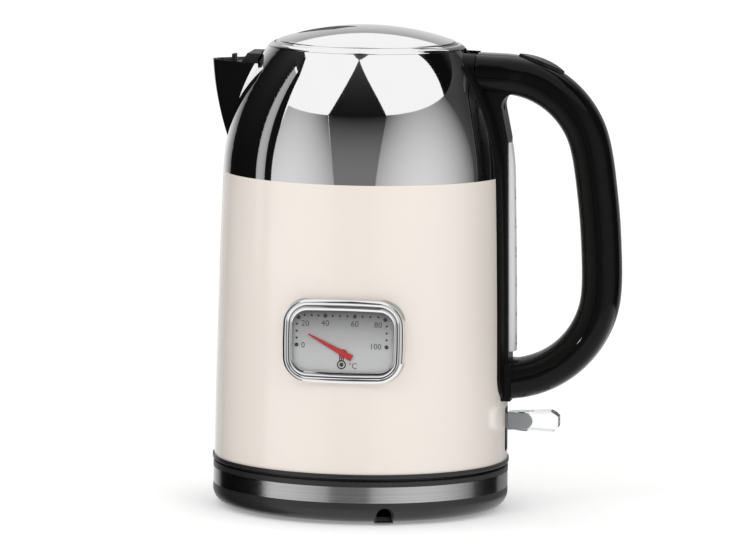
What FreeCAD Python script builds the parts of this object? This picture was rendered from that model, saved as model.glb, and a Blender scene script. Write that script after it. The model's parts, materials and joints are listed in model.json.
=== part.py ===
import FreeCAD, Part
import math
import os

# Cordless electric kettle: power base, steel jug, hinged lid, loop handle, rocker lever and dial gauge.
# Millimetres.  +Z up, origin on the jug's axis at table level, +X towards the handle,
# -X towards the spout, -Y towards the viewer of the temperature gauge.

V = FreeCAD.Vector
UP = V(0, 0, 1)
ALONG_X = V(1, 0, 0)
ALONG_Y = V(0, 1, 0)

# ---------------------------------------------------------------- driving dimensions
# general clearances
seat_gap = 0.3            # between parts that are seated on each other without a fit
run_gap = 0.05            # radial clearance of a pin in its bore
slide_gap = 0.35          # around pieces that slide or swing past others
overrun = 9.0             # how far a cutting tool runs past what it cuts
aligned = 0.9             # cosine above which an edge counts as running along an axis
crossways = 0.1           # cosine below which it counts as running across it
arc_middle = 1 - math.sqrt(0.5)   # how far the middle of a quarter round lies from its corner, per radius

# power base
base_radius = 76.4
base_corner = 7.6
foot_height = 1.2
foot_ring_inner = base_radius - 21.4
foot_ring_width = 6.0
foot_groove_depth = 1.0
base_wall = 2.2
band_bottom = 11.8
band_width = 8.2
band_top = band_bottom + band_width
band_sheet = 0.6
cover_lip_top = band_top + 2.9
cover_seat_step = 0.7     # raised annulus that carries the jug
cover_round = 0.6
cover_seat_radius = base_radius - 2.4
cover_skirt = 6.0
base_screw_circle = foot_ring_inner - 11.0
base_screw_count = 3
first_base_screw = 90.0
base_screw_radius = 1.5
screw_head_ratio = 2.0
boss_radius = 4.0
cord_notch_angle = -73.0  # direction of the cord outlet, degrees from +X
cord_notch_width = 9.4
cord_notch_height = 9.4
cord_notch_depth = 10.0
gland_wall = 0.7
gland_recess = 2.4        # from the base's side to the bush
gland_length = 4.0

# central coupler
post_radius = 17.4
post_wall = 2.4
post_top = cover_lip_top + 10.1
post_flange_radius = post_radius + 6.6
post_floor = 2.0
pin_tube_radius = 5.0
pin_tube_wall = 1.6
contact_ring_radii = (post_radius - 8.0, post_radius - 4.7)
contact_ring_sheet = 0.8
contact_ring_height = 7.0
contact_pin_radius = 1.5
coupler_gap = 0.6
coupler_wall = 3.0
coupler_height = 17.0

# jug body
ring_lip_radius = base_radius + 0.4
lip_bottom_recess = 0.2
body_bottom = cover_lip_top + 3.5
body_height = 210.1       # of the body's outer wall, from the black ring to the rim
dome_height = 62.8        # of the polished part of it
body_bottom_radius = base_radius - 0.4
dome_top = body_bottom + body_height
paint_line = dome_top - dome_height
body_middle = body_bottom + 73.6
body_middle_radius = body_bottom_radius - 0.9
paint_line_radius = body_bottom_radius - 2.8
neck_bore = 49.4
dome_top_radius = neck_bore + 2.6
body_wall = 0.8
rim_top = dome_top + 1.3
neck_bottom = rim_top - 10.8
ring_flange_height = 9.0
ring_flange_wall = 2.0
underside_thickness = 2.0
bottom_screw_circle = body_bottom_radius - 16.0
bottom_screw_count = 3
first_bottom_screw = 30.0

# heater and controls
heater_floor = body_bottom + 31.6
heater_sheet = 1.0
seal_height = 5.0
seal_width = 2.6
spreader_radius = body_bottom_radius - 16.0
spreader_thickness = 2.0
element_circle = spreader_radius - 14.0
element_width = 8.0
element_height = 6.0
element_gap_angle = 46.0
terminal_lead = 4.0       # degrees from the element's end to its terminal
terminal_radius = 1.6
terminal_length = 9.0
steam_tube_x = body_bottom_radius - 17.5
steam_tube_radius = 4.0
steam_tube_wall = 1.0
steam_tube_top = dome_top - 34.5

# rocker lever
lever_pivot_x = body_bottom_radius - 26.0
lever_pivot_z = body_bottom + 20.2
lever_pin_radius = 1.5
lever_root_x = body_bottom_radius + 0.9
lever_tip_x = lever_root_x + 26.1
lever_root_height = 9.0
lever_tip_height = 11.4
lever_width = 11.0
lever_tip_cone = 4.0
lever_chamfer = 1.2
core_tip_x = lever_root_x + 12.5
core_height = 7.6
core_width = 6.4
core_gap = 0.25
slot_top = lever_pivot_z + 7.0
slot_bottom = lever_pivot_z - 15.6
slot_half_width = 6.4
housing_wall = 2.0
housing_length = 27.0

# spout
spout_top = rim_top - 7.8
spout_height = 42.0
spout_foot = spout_top - spout_height
spout_nose_top = paint_line_radius + 6.9
spout_nose_middle = paint_line_radius + 4.1
spout_nose_foot = paint_line_radius - 1.8
spout_half_width = 24.0
spout_foot_half_width = 1.6
spout_nose_radius = 8.5
spout_foot_nose_radius = 1.2
spout_wall = 0.9
spout_root_inset = 3.0
spout_sink = 1.5
spout_sections = 5
filter_plane = spout_nose_top - 12.1
filter_thickness = 1.8
filter_border = 2.6
filter_foot = spout_foot + 10.0
filter_mesh_sheet = 0.5
mesh_pitch = 2.0
mesh_hole_radius = 0.7
filter_tab_height = 3.4
filter_tab_half_width = 3.5
hood_top = rim_top - 3.6
hood_half_width = 12.5
hood_front = filter_plane - 3.5
hood_knee = hood_front - 4.1
hood_wall = 1.2

# lid
lid_apex = rim_top + 11.4
lid_edge_radius = neck_bore - 1.2
lid_edge_z = rim_top + 2.8
lid_bead_radius = neck_bore + 1.3
lid_bead_bottom = rim_top + 0.6
groove_dip = 1.3          # depth of the lid's groove, per groove width
bead_fall = 2.2           # drop of the bead's outer side, per groove width
lid_sheet = 0.8
liner_radius = neck_bore - 2.1
liner_wall = 1.8
liner_bottom = rim_top - 12.2
liner_floor = 1.6
lid_seal_height = 2.4
lid_seal_gap = 0.5
lid_boss_circle = liner_radius - 17.3
lid_boss_count = 3
first_lid_boss = 60.0
tongue_half_width = 9.0
tongue_inner_x = neck_bore - 7.4
anchor_half_width = tongue_half_width + 1.4
notch_gap = 0.9
hinge_x = neck_bore + 6.7
hinge_z = rim_top - 4.5
knuckle_radius = 1.7
hinge_pin_radius = 0.8
hinge_pin_half_length = tongue_half_width + 2.0
ear_half_width = 3.0
ear_radius = 1.5

# handle loop
handle_start_x = dome_top_radius + 6.1
handle_top = rim_top - 1.2
start_heading = -1.5
top_run = 13.8
top_arc = 57.9
top_arc_end = -79.3
side_arc_end = -90.0
bottom_arc = 59.9
bottom_arc_end = -175.0
handle_foot = body_bottom + 31.8    # height at which the loop's outer line ends
handle_depth = 20.3
handle_seam = 11.3        # depth of the cover's side walls
seam_gap = 0.25
head_half_width = 18.0
grip_half_width = 15.5
foot_half_width = 16.5
head_narrowed = -22.0     # heading where the head has narrowed to the grip
foot_lead = 15.0          # degrees before the lower arc where the foot starts to widen
head_stations = 3
top_stations = 7          # sections laid along each arc
side_stations = 4
bottom_stations = 8
lining_inset = 0.8
cover_wall = 2.2
lining_wall = 2.4
lining_foot_run = 8.0
cover_roundness = 2.7
lining_roundness = 3.0
section_points = 13

# handle bracket on the body
flange_half_width = 21.0
flange_thickness = 1.6
flange_bottom = handle_foot - 0.2
flange_corner = 12.0
head_top = hinge_z - knuckle_radius - 0.4
head_drop = 4.0
collar_proud = 0.8        # of the cover's surface
collar_depth = 6.4        # of the collar's lower edge under the cover's line
tenon_half_width = 14.0    # block that reaches under the cover
tenon_top = handle_top - 6.6
ridge_half_width = 13.0
ridge_bottom = flange_bottom + 6.0
ridge_proud = 1.8         # of the body, beside the window
ridge_top_proud = 4.0     # above the window, where the dome falls back
ridge_head_proud = 5.3    # under the web
ridge_edge = 1.6
web_radius = 7.2
foot_block_half_width = 15.6
foot_seam_x = body_bottom_radius + 3.3 # vertical seam between the bracket and the cover's lower end

# water window
window_bottom = body_bottom + 56.6
window_top = paint_line + 17.3
window_half_width = 6.4
window_proud = 4.7        # of the body
window_flange = 2.2
window_flange_thickness = 0.9
window_edge = 3.0
window_slot_half_width = 3.2

# lid button and latch
button_heading = -20.8
button_half_length = 12.5
button_half_width = 7.6
button_proud = 1.2
button_travel = 2.5
button_depth = 4.4
button_flange = 1.1
button_brim_depth = 4.0
button_flange_thickness = 1.0
deck_depth = 12.6         # shelf under the button that carries its spring
deck_thickness = 1.5
deck_start = -16.0        # headings of its two ends
deck_end = -32.0
button_leg_x = handle_start_x + 23.85
button_leg_thickness = 2.6
button_leg_half_width = 4.0
button_leg_bottom = handle_top - 12.4
latch_half_width = 5.0
latch_bottom = handle_top - 12.8
latch_top = latch_bottom + 2.6
latch_rod_radius = 1.1
latch_rod_start = hinge_x + 6.3
latch_body_start = handle_start_x + 12.4
latch_spring_start = latch_rod_start + 2.4

# springs
turn_points = 12          # points of a coil's curve in one turn
spring_wire = 0.35
button_spring_radius = 3.0
latch_spring_radius = 2.6
lid_spring_radius = 1.25
lid_spring_wire = 0.2

# temperature gauge
gauge_z = body_bottom + 68.1
opening_width = 53.0
bezel_width = opening_width + 9.0
opening_height = 34.0
bezel_height = opening_height + 9.0
bezel_corner = 12.0
bezel_front = body_bottom_radius + 2.8
bezel_lip = 1.4
bezel_step = 1.5
bezel_step_depth = 0.9
opening_corner = 8.6
glass_thickness = 1.0
dial_plane = bezel_front - 3.9
dial_thickness = 0.7
cup_wall = 1.3
cup_back = bezel_front - 17.8
gasket_thickness = 0.6
dial_hub_drop = 6.2
needle_length = 20.2
needle_tail = 5.0
needle_tail_half = 1.7
needle_tip_half = 0.35
needle_thickness = 0.4
needle_rise = 27.7        # degrees above the horizontal, pointing left
needle_clear = 0.5
hub_radius = 2.2
shaft_radius = 0.8
shaft_back = cup_back + 2.2
coil_strip = 0.5
coil_inner = 2.4
coil_pitch = 1.7
coil_turns = 3
coil_height = 6.0

# handle screws
handle_screw_radius = 2.0
handle_screw_heights = (flange_bottom + 12.0, head_top - 22.2)
handle_screw_length = 9.0
handle_screw_head = 1.6


# ---------------------------------------------------------------- small helpers
def point(x, z, y=0.0):
    return V(x, y, z)


def outline(corners):
    """Closed wire in the XZ plane: (x, z) is a straight run, (mx, mz, x, z) an arc through (mx, mz)."""
    edges = []
    here = corners[0][-2:]
    for corner in list(corners[1:]) + [corners[0][-2:]]:
        there = corner[-2:]
        if len(corner) == 4:
            edges.append(Part.Arc(point(*here), point(*corner[:2]), point(*there)).toShape())
        elif here != there:
            edges.append(Part.LineSegment(point(*here), point(*there)).toShape())
        here = there
    return Part.Wire(edges)


def revolved(corners):
    """Solid of revolution about Z of an outline whose x is the radius."""
    return Part.Face(outline(corners)).revolve(V(0, 0, 0), UP, 360)


def extruded(corners, y_low, y_high):
    face = Part.Face(outline(corners))
    face.translate(V(0, y_low, 0))
    return face.extrude(V(0, y_high - y_low, 0))


def cylinder(radius, z_low, z_high, x=0.0, y=0.0):
    return Part.makeCylinder(radius, z_high - z_low, V(x, y, z_low))


def tube(inner, outer, z_low, z_high):
    return revolved([(inner, z_low), (outer, z_low), (outer, z_high), (inner, z_high)])


def box(x_low, x_high, y_low, y_high, z_low, z_high):
    return Part.makeBox(x_high - x_low, y_high - y_low, z_high - z_low, V(x_low, y_low, z_low))


def rod(radius, start, end):
    return Part.makeCylinder(radius, (end - start).Length, start, end - start)


def crossbar(radius, half_length, x, z):
    """Round bar along Y, centred on (x, 0, z)."""
    return rod(radius, V(x, -half_length, z), V(x, half_length, z))


def polar(radius, angle, z=0.0):
    return V(radius * math.cos(math.radians(angle)), radius * math.sin(math.radians(angle)), z)


def around(count, first=0.0):
    return [first + step * 360.0 / count for step in range(count)]


def fused(first, *others):
    return first.fuse(list(others)).removeSplitter()


def cut(solid, *tools):
    return solid.cut(list(tools))


def coil(radius, wire, turns, length, start, direction):
    """Round-wire helical spring from start along direction."""
    path = []
    for step in range(turns * turn_points + 1):
        angle = 2 * math.pi * step / turn_points
        rise = length * step / (turns * turn_points)
        path.append(V(radius * math.cos(angle), radius * math.sin(angle), rise))
    helix = Part.BSplineCurve()
    helix.interpolate(path)
    section = Part.Wire(Part.makeCircle(wire, path[0], helix.tangent(0)[0]))
    spring = Part.Wire(helix.toShape()).makePipeShell([section], True, True)
    spring.Placement = FreeCAD.Placement(start, FreeCAD.Rotation(UP, direction))
    return spring


def screw(radius, length, head, tip, direction):
    """Countersunk-free pan screw: the shank ends at tip, the head sits behind it."""
    seat = tip - direction * length
    return fused(rod(radius, seat, tip), rod(radius * screw_head_ratio, seat - direction * head, seat))


def slab(width, height, corner, front, back, z):
    """Plate with rounded corners facing -Y: front and back are distances in front of the axis."""
    plate = box(-width / 2, width / 2, -front, -back, z - height / 2, z + height / 2)
    edges = [e for e in plate.Edges if abs(e.tangentAt(e.FirstParameter).y) > aligned]
    return plate.makeFillet(corner, edges)


nodes = {}


def keep(name, *solids):
    """Collect the separate solids of one node."""
    nodes[name] = [piece for solid in solids for piece in solid.Solids]


# ---------------------------------------------------------------- body surface
def circle_through(a, b, c):
    ax, ay, bx, by, cx, cy = *a, *b, *c
    d = 2 * (ax * (by - cy) + bx * (cy - ay) + cx * (ay - by))
    sa, sb, sc = ax * ax + ay * ay, bx * bx + by * by, cx * cx + cy * cy
    x = (sa * (by - cy) + sb * (cy - ay) + sc * (ay - by)) / d
    y = (sa * (cx - bx) + sb * (ax - cx) + sc * (bx - ax)) / d
    return x, y, math.hypot(ax - x, ay - y)


barrel = circle_through((body_bottom_radius, body_bottom), (body_middle_radius, body_middle),
                        (paint_line_radius, paint_line))


def dome_circle():
    """Circle tangent to the barrel at the paint line that ends at the dome's top edge."""
    nr = (paint_line_radius - barrel[0]) / barrel[2]
    nz = (paint_line - barrel[1]) / barrel[2]
    dr, dz = paint_line_radius - dome_top_radius, paint_line - dome_top
    radius = (dr * dr + dz * dz) / (2 * (dr * nr + dz * nz))
    return paint_line_radius - nr * radius, paint_line - nz * radius, radius


dome = dome_circle()


def body_radius(z, offset=0.0):
    """Radius of the body's outer surface at height z, grown by offset along its normal."""
    circle = barrel if z <= paint_line else dome
    return circle[0] + math.sqrt((circle[2] + offset) ** 2 - (z - circle[1]) ** 2)


def join_height(offset):
    """Height at which the grown barrel meets the grown dome."""
    return paint_line + offset * (paint_line - barrel[1]) / barrel[2]


def surface_run(z_low, z_high, offset):
    """Outline entries that follow the body's surface upwards."""
    join = join_height(offset)
    low_mid, high_mid = (z_low + join) / 2, (join + z_high) / 2
    joint_radius = barrel[0] + math.sqrt((barrel[2] + offset) ** 2 - (join - barrel[1]) ** 2)
    return [(body_radius(z_low, offset), z_low),
            (body_radius(low_mid, offset), low_mid, joint_radius, join),
            (body_radius(high_mid, offset), high_mid, body_radius(z_high, offset), z_high)]


def body_core(offset=0.0, z_low=body_bottom, z_high=dome_top):
    """Everything inside the body's outer surface grown by offset."""
    return revolved([(0, z_low)] + surface_run(z_low, z_high, offset) + [(0, z_high)])


# ---------------------------------------------------------------- power base
def cord_arch(shrink, low, outer, inner):
    """Arched prism along the cord's direction, from the outer to the inner distance from the axis."""
    half = cord_notch_width / 2 - shrink
    top = cord_notch_height - shrink
    arch = extruded([(-half, low), (half, low), (half, top - half), (0.0, top, -half, top - half)],
                    -outer, -inner)
    arch.rotate(V(0, 0, 0), UP, cord_notch_angle + 90)
    return arch


def cord_notch():
    """Arched cord outlet through the base's wall."""
    return cord_arch(0.0, 0.0, base_radius + base_wall, base_radius - cord_notch_depth)


def cord_gland():
    """Thin-walled bush in the cord outlet."""
    outer = base_radius - gland_recess
    low = foot_height + run_gap
    bush = cord_arch(run_gap, low, outer, outer - gland_length)
    return bush.cut(cord_arch(gland_wall, low + gland_wall, base_radius, outer - 2 * gland_length))


def foot_track(low):
    """Ring from a height up to the bottom of the tray's groove."""
    return tube(foot_ring_inner, foot_ring_inner + foot_ring_width, low, foot_height + foot_groove_depth)


def base_tray():
    corner_r, corner_z = base_radius - base_corner, foot_height + base_corner
    bend = base_corner / math.sqrt(2)
    inner = base_radius - base_wall
    inner_corner = base_corner - base_wall
    inner_bend = inner_corner / math.sqrt(2)
    floor = foot_height + base_wall
    band_seat = base_radius - band_sheet
    shell = revolved([
        (0, foot_height), (corner_r, foot_height),
        (corner_r + bend, corner_z - bend, base_radius, corner_z),
        (base_radius, band_bottom), (band_seat, band_bottom), (band_seat, band_top),
        (inner, band_top), (inner, corner_z),
        (corner_r + inner_bend, corner_z - inner_bend, corner_r, floor), (0, floor)])
    bosses = []
    bores = []
    for angle in around(base_screw_count, first_base_screw):
        centre = polar(base_screw_circle, angle)
        bosses.append(cylinder(boss_radius, floor, band_top - cover_skirt, centre.x, centre.y))
        bores.append(cylinder(base_screw_radius, foot_height, band_top, centre.x, centre.y))
        bores.append(cylinder(base_screw_radius * screw_head_ratio + seat_gap, foot_height,
                              foot_height + base_wall / 2, centre.x, centre.y))
    shell = fused(shell, *bosses)
    return cut(shell, cord_notch(), foot_track(foot_height), *bores)


def base_cover():
    """Top of the base: outer lip, raised seat for the jug, dish and hole for the coupler."""
    lip_bottom = band_top + seat_gap / 2
    skirt_radius = base_radius - base_wall - seat_gap
    plate_bottom = cover_lip_top - base_wall
    seat_top = cover_lip_top + cover_seat_step
    hole = post_radius + seat_gap
    cover = revolved([
        (hole, plate_bottom), (skirt_radius - base_wall, plate_bottom),
        (skirt_radius - base_wall, band_top - cover_skirt), (skirt_radius, band_top - cover_skirt),
        (skirt_radius, lip_bottom), (base_radius, lip_bottom),
        (base_radius, cover_lip_top - cover_round),
        (base_radius - arc_middle * cover_round, cover_lip_top - arc_middle * cover_round,
         base_radius - cover_round, cover_lip_top),
        (cover_seat_radius, cover_lip_top), (cover_seat_radius, seat_top), (hole, seat_top)])
    bosses = []
    bores = []
    for angle in around(base_screw_count, first_base_screw):
        centre = polar(base_screw_circle, angle)
        bosses.append(cylinder(boss_radius, band_top - cover_skirt, plate_bottom, centre.x, centre.y))
        bores.append(cylinder(base_screw_radius, band_top - cover_skirt, plate_bottom, centre.x, centre.y))
    return cut(fused(cover, *bosses), *bores)


def base_screws():
    tip = cover_lip_top - base_wall
    seat = foot_height + base_wall / 2
    return [screw(base_screw_radius, tip - seat, base_wall / 2, polar(base_screw_circle, a, tip), UP)
            for a in around(base_screw_count, first_base_screw)]


def contact_parts():
    """Brass rings and centre pin that stand in the coupler's floor."""
    floor = cover_lip_top - base_wall - post_floor
    low, high = floor + post_floor / 2, floor + post_floor + contact_ring_height
    rings = [tube(r, r + contact_ring_sheet, low, high) for r in contact_ring_radii]
    pin = cylinder(contact_pin_radius, floor, post_top - 2 * contact_pin_radius)
    return rings + [pin]


def base_connector(contacts):
    """Round plug of the base: flange under the cover, sleeve, centre tube."""
    flange_top = cover_lip_top - base_wall
    floor = flange_top - post_floor
    inner = post_radius - post_wall
    chamfer = post_wall / 3
    pin_bore = pin_tube_radius - pin_tube_wall
    body = revolved([
        (0, floor), (post_flange_radius, floor), (post_flange_radius, flange_top), (post_radius, flange_top),
        (post_radius, post_top - chamfer), (post_radius - chamfer, post_top), (inner, post_top),
        (inner, flange_top), (pin_tube_radius, flange_top), (pin_tube_radius, post_top - post_wall),
        (pin_bore, post_top - post_wall), (pin_bore, flange_top), (0, flange_top)])
    return cut(body, *contacts)


def build_power_base():
    contacts = contact_parts()
    keep("base_tray", base_tray())
    keep("base_band", tube(base_radius - band_sheet, base_radius, band_bottom, band_top))
    keep("base_cover", base_cover())
    keep("base_connector", base_connector(contacts))
    keep("contact_rings", *contacts)
    keep("cord_gland", cord_gland())
    keep("foot_ring", foot_track(0))
    keep("base_screws", *base_screws())


# ---------------------------------------------------------------- jug underside
seat_level = cover_lip_top + cover_seat_step + seat_gap
coupler_outer = post_radius + coupler_gap + coupler_wall
coupler_top = seat_level + coupler_height


def jug_connector():
    """Round socket under the jug, clear of the base's plug all the way round."""
    clear = coupler_gap
    bore = post_radius + clear
    plug = post_radius - post_wall - clear
    roof = coupler_top - coupler_wall
    core = revolved([
        (pin_tube_radius + clear, seat_level), (plug, seat_level), (plug, roof), (bore, roof),
        (bore, seat_level), (coupler_outer, seat_level), (coupler_outer, coupler_top), (0, coupler_top),
        (0, roof), (pin_tube_radius + clear, roof)])
    slots = [tube(r - clear, r + contact_ring_sheet + clear, seat_level,
                  cover_lip_top - base_wall + contact_ring_height + clear) for r in contact_ring_radii]
    return cut(core, *slots)


def jug_contacts():
    """Spring contacts of the socket, flush in its roof."""
    top = coupler_top + 2 * contact_pin_radius
    bottom = coupler_top - coupler_wall
    return [cylinder(contact_pin_radius, bottom, top, r + contact_ring_sheet / 2)
            for r in contact_ring_radii]


def bottom_ring():
    """Black ring that closes the jug's lower edge and stands on the base."""
    flange_outer = body_radius(body_bottom, -body_wall) - seat_gap
    flange_inner = flange_outer - ring_flange_wall
    lip_bottom = seat_level + lip_bottom_recess
    flange_top = body_bottom + ring_flange_height
    ledge = flange_inner - ring_flange_wall
    round_off = (body_bottom - lip_bottom) / 4
    ring = revolved([
        (ledge, seat_level), (cover_seat_radius, seat_level), (cover_seat_radius, lip_bottom),
        (ring_lip_radius - round_off, lip_bottom),
        (ring_lip_radius - arc_middle * round_off, lip_bottom + arc_middle * round_off,
         ring_lip_radius, lip_bottom + round_off),
        (ring_lip_radius, body_bottom), (flange_outer, body_bottom),
        (body_radius(flange_top, -body_wall) - seat_gap, flange_top), (flange_inner - seat_gap, flange_top),
        (flange_inner, body_bottom + underside_thickness), (ledge, body_bottom + underside_thickness)])
    half = slot_half_width + housing_wall + seat_gap
    notch = box(ledge, base_radius + base_wall, -half, half, slot_bottom - housing_wall - seat_gap, slot_top)
    return ring.cut(notch)


def underside_cover():
    """Cover under the controls, screwed to the bosses below the heater."""
    rim = (body_radius(body_bottom, -body_wall) - seat_gap) - 2 * ring_flange_wall - seat_gap
    plate = tube(coupler_outer + seat_gap, rim, seat_level, seat_level + underside_thickness)
    bosses = []
    bores = []
    for angle in around(bottom_screw_count, first_bottom_screw):
        centre = polar(bottom_screw_circle, angle)
        bosses.append(cylinder(boss_radius, seat_level, heater_floor - spreader_thickness - 3 * seat_gap,
                               centre.x, centre.y))
        bores.append(cylinder(base_screw_radius, seat_level, heater_floor, centre.x, centre.y))
        bores.append(cylinder(base_screw_radius * screw_head_ratio + seat_gap, seat_level,
                              seat_level + underside_thickness / 2, centre.x, centre.y))
    return cut(fused(plate, *bosses), *bores)


def bottom_screws():
    tip = heater_floor - spreader_thickness - 3 * seat_gap
    head = underside_thickness / 2 - run_gap
    shank = tip - seat_level - underside_thickness / 2
    return [screw(base_screw_radius, shank, head, polar(bottom_screw_circle, a, tip), UP)
            for a in around(bottom_screw_count, first_bottom_screw)]


# ---------------------------------------------------------------- heater and controls
def heater_plate():
    radius = body_radius(heater_floor, -body_wall) - seal_width / 2
    plate = cylinder(radius, heater_floor, heater_floor + heater_sheet)
    hole = cylinder(steam_tube_radius + run_gap, heater_floor, heater_floor + heater_sheet, steam_tube_x)
    return plate.cut(hole)


def plate_seal(plate):
    outer = body_radius(heater_floor, -body_wall) - 3 * run_gap
    low = heater_floor + heater_sheet / 2 - seal_height / 2
    return tube(outer - seal_width, outer, low, low + seal_height).cut(plate)


def heating_element():
    """Sheathed element bent into an open ring on the underside of the heat spreader."""
    top = heater_floor - spreader_thickness
    ring = tube(element_circle - element_width / 2, element_circle + element_width / 2,
                top - element_height, top)
    half = element_gap_angle / 2
    reach = 2 * element_circle
    wedge = Part.Face(Part.makePolygon([V(0, 0, 0), polar(reach, -half), polar(reach, half), V(0, 0, 0)]))
    wedge.translate(V(0, 0, top - element_height))
    return ring.cut(wedge.extrude(V(0, 0, element_height)))


def element_terminals():
    top = heater_floor - spreader_thickness - element_height
    pieces = []
    for side in (-1, 1):
        end = polar(element_circle, side * (element_gap_angle / 2 + terminal_lead))
        pieces.append(cylinder(terminal_radius, top - terminal_length, top, end.x, end.y))
    return pieces


def switch_housing():
    """Open-fronted box behind the lever slot that carries the lever's pivot."""
    outer = slot_half_width + housing_wall
    wall_x = body_radius(slot_bottom, -body_wall) - seat_gap
    low = slot_bottom - housing_wall
    high = slot_top + housing_wall
    start = lever_pivot_x - housing_length / 3
    shell = box(start, wall_x + housing_wall, -outer, outer, low, high)
    shell = shell.common(body_core(-body_wall - seat_gap, seat_level, paint_line + housing_wall))
    hollow = box(start + housing_wall, wall_x + 2 * housing_wall, -slot_half_width, slot_half_width,
                 low + housing_wall, high - housing_wall)
    lamp_bore = rod(contact_pin_radius + run_gap, V(start, 0, lever_pivot_z),
                    V(start + housing_wall, 0, lever_pivot_z))
    tube_hole = cylinder(steam_tube_radius + seat_gap, high - housing_wall, high, steam_tube_x)
    return cut(shell, hollow, lever_pin(), lamp_bore, tube_hole)


def lever_pin():
    return crossbar(lever_pin_radius, slot_half_width + housing_wall, lever_pivot_x, lever_pivot_z)


def lever_core_solid(grow=0.0):
    """Grey carrier of the lever: straight bar with a round end, on the pivot."""
    half = core_height / 2 + grow
    tip = core_tip_x - core_height / 2
    z = lever_pivot_z
    bar = extruded([(lever_pivot_x, z - half), (tip, z - half), (tip + half, z, tip, z + half),
                    (lever_pivot_x, z + half), (lever_pivot_x - half, z, lever_pivot_x, z - half)],
                   -core_width / 2 - grow, core_width / 2 + grow)
    return bar


def power_lever():
    """Clear paddle over the carrier: slightly flared, with a faceted tip."""
    z = lever_pivot_z
    root, tip = lever_root_height / 2, lever_tip_height / 2
    shoulder = lever_tip_x - lever_tip_cone
    taper = lever_tip_cone / 2
    facet = lever_tip_x - taper / 2
    end = tip - taper - taper / 2
    paddle = extruded([(lever_root_x, z - root), (shoulder, z - tip), (facet, z - tip + taper),
                       (lever_tip_x, z - end), (lever_tip_x, z + end), (facet, z + tip - taper),
                       (shoulder, z + tip), (lever_root_x, z + root)],
                      -lever_width / 2, lever_width / 2)
    long_edges = [e for e in paddle.Edges
                  if e.Length > lever_tip_cone * 2 and abs(e.tangentAt(e.FirstParameter).x) > aligned]
    paddle = paddle.makeChamfer(lever_chamfer, long_edges)
    return paddle.cut(lever_core_solid(core_gap))


def pilot_lamp():
    start = lever_pivot_x - housing_length / 3
    z = lever_pivot_z
    lens = lever_pivot_x - core_height / 2 - 2 * seat_gap
    return rod(contact_pin_radius, V(start - housing_wall, 0, z), V(lens - run_gap, 0, z))


def steam_tube():
    bottom = slot_top + seat_gap
    outer = cylinder(steam_tube_radius, bottom, steam_tube_top, steam_tube_x)
    inner = cylinder(steam_tube_radius - steam_tube_wall, bottom, steam_tube_top, steam_tube_x)
    return outer.cut(inner)


def build_controls():
    plate = heater_plate()
    keep("heater_plate", plate)
    keep("plate_seal", plate_seal(plate))
    keep("heat_spreader", cylinder(spreader_radius, heater_floor - spreader_thickness, heater_floor)
         .cut(cylinder(steam_tube_radius + seat_gap, 0, heater_floor, steam_tube_x)))
    keep("heating_element", heating_element())
    keep("element_terminals", *element_terminals())
    keep("switch_housing", switch_housing())
    keep("lever_pin", lever_pin())
    core = lever_core_solid()
    pin_bore = crossbar(lever_pin_radius + run_gap, core_width, lever_pivot_x, lever_pivot_z)
    keep("lever_core", core.cut(pin_bore))
    keep("power_lever", power_lever())
    keep("pilot_lamp", pilot_lamp())
    keep("steam_tube", steam_tube())


# ---------------------------------------------------------------- spout and filter
spout_nose = circle_through((spout_nose_top, spout_top),
                            (spout_nose_middle, (spout_top + spout_foot) / 2),
                            (spout_nose_foot, spout_foot))


def nose_radius_at(z):
    """Distance of the spout's nose line from the jug's axis."""
    return spout_nose[0] + math.copysign(math.sqrt(spout_nose[2] ** 2 - (z - spout_nose[1]) ** 2),
                                         spout_nose_top - spout_nose[0])


def spout_section(z, inset, root):
    """Closed V-shaped section of the spout at height z, its open end buried in the body."""
    share = (z - spout_foot) / (spout_top - spout_foot)
    half = spout_foot_half_width + (spout_half_width - spout_foot_half_width) * share - inset
    tip = spout_foot_nose_radius + (spout_nose_radius - spout_foot_nose_radius) * share - inset
    tip = max(tip, spout_foot_nose_radius / 2)
    centre = nose_radius_at(z) - inset - tip
    corner = body_radius(z) - spout_sink
    away = math.atan2(half, corner - centre)
    lean = away - math.acos(tip / math.hypot(centre - corner, half))
    contact_x, contact_y = centre + tip * math.cos(lean), tip * math.sin(lean)
    trace = [(-root, -half), (-corner, -half), (-contact_x, -contact_y)]
    nose = Part.Arc(V(-contact_x, -contact_y, z), V(-centre - tip, 0, z), V(-contact_x, contact_y, z))
    mirrored = [(x, -y) for x, y in reversed(trace)]
    sides = [Part.LineSegment(V(*a, z), V(*b, z)).toShape()
             for run in (trace, mirrored) for a, b in zip(run, run[1:])]
    back = Part.LineSegment(V(*mirrored[-1], z), V(*trace[0], z)).toShape()
    return Part.Wire(sides[:2] + [nose.toShape()] + sides[2:] + [back])


def spout_solid(inset=0.0, root_inset=spout_root_inset, foot_raise=0.0, top=spout_top):
    step = (top - spout_foot - foot_raise) / (spout_sections - 1)
    levels = [spout_foot + foot_raise + step * i for i in range(spout_sections)]
    wires = [spout_section(z, inset, body_radius(spout_top) - root_inset) for z in levels]
    return Part.makeLoft(wires, True, False)


def filter_window(inset):
    """Part of the spout's channel that the filter plate fills, shrunk by inset."""
    plate = spout_solid(spout_wall + inset, 2 * spout_root_inset, spout_wall)
    return plate.common(box(-filter_plane - filter_thickness, -filter_plane, -spout_half_width,
                            spout_half_width, filter_foot + inset, spout_top - seat_gap - inset))


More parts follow.
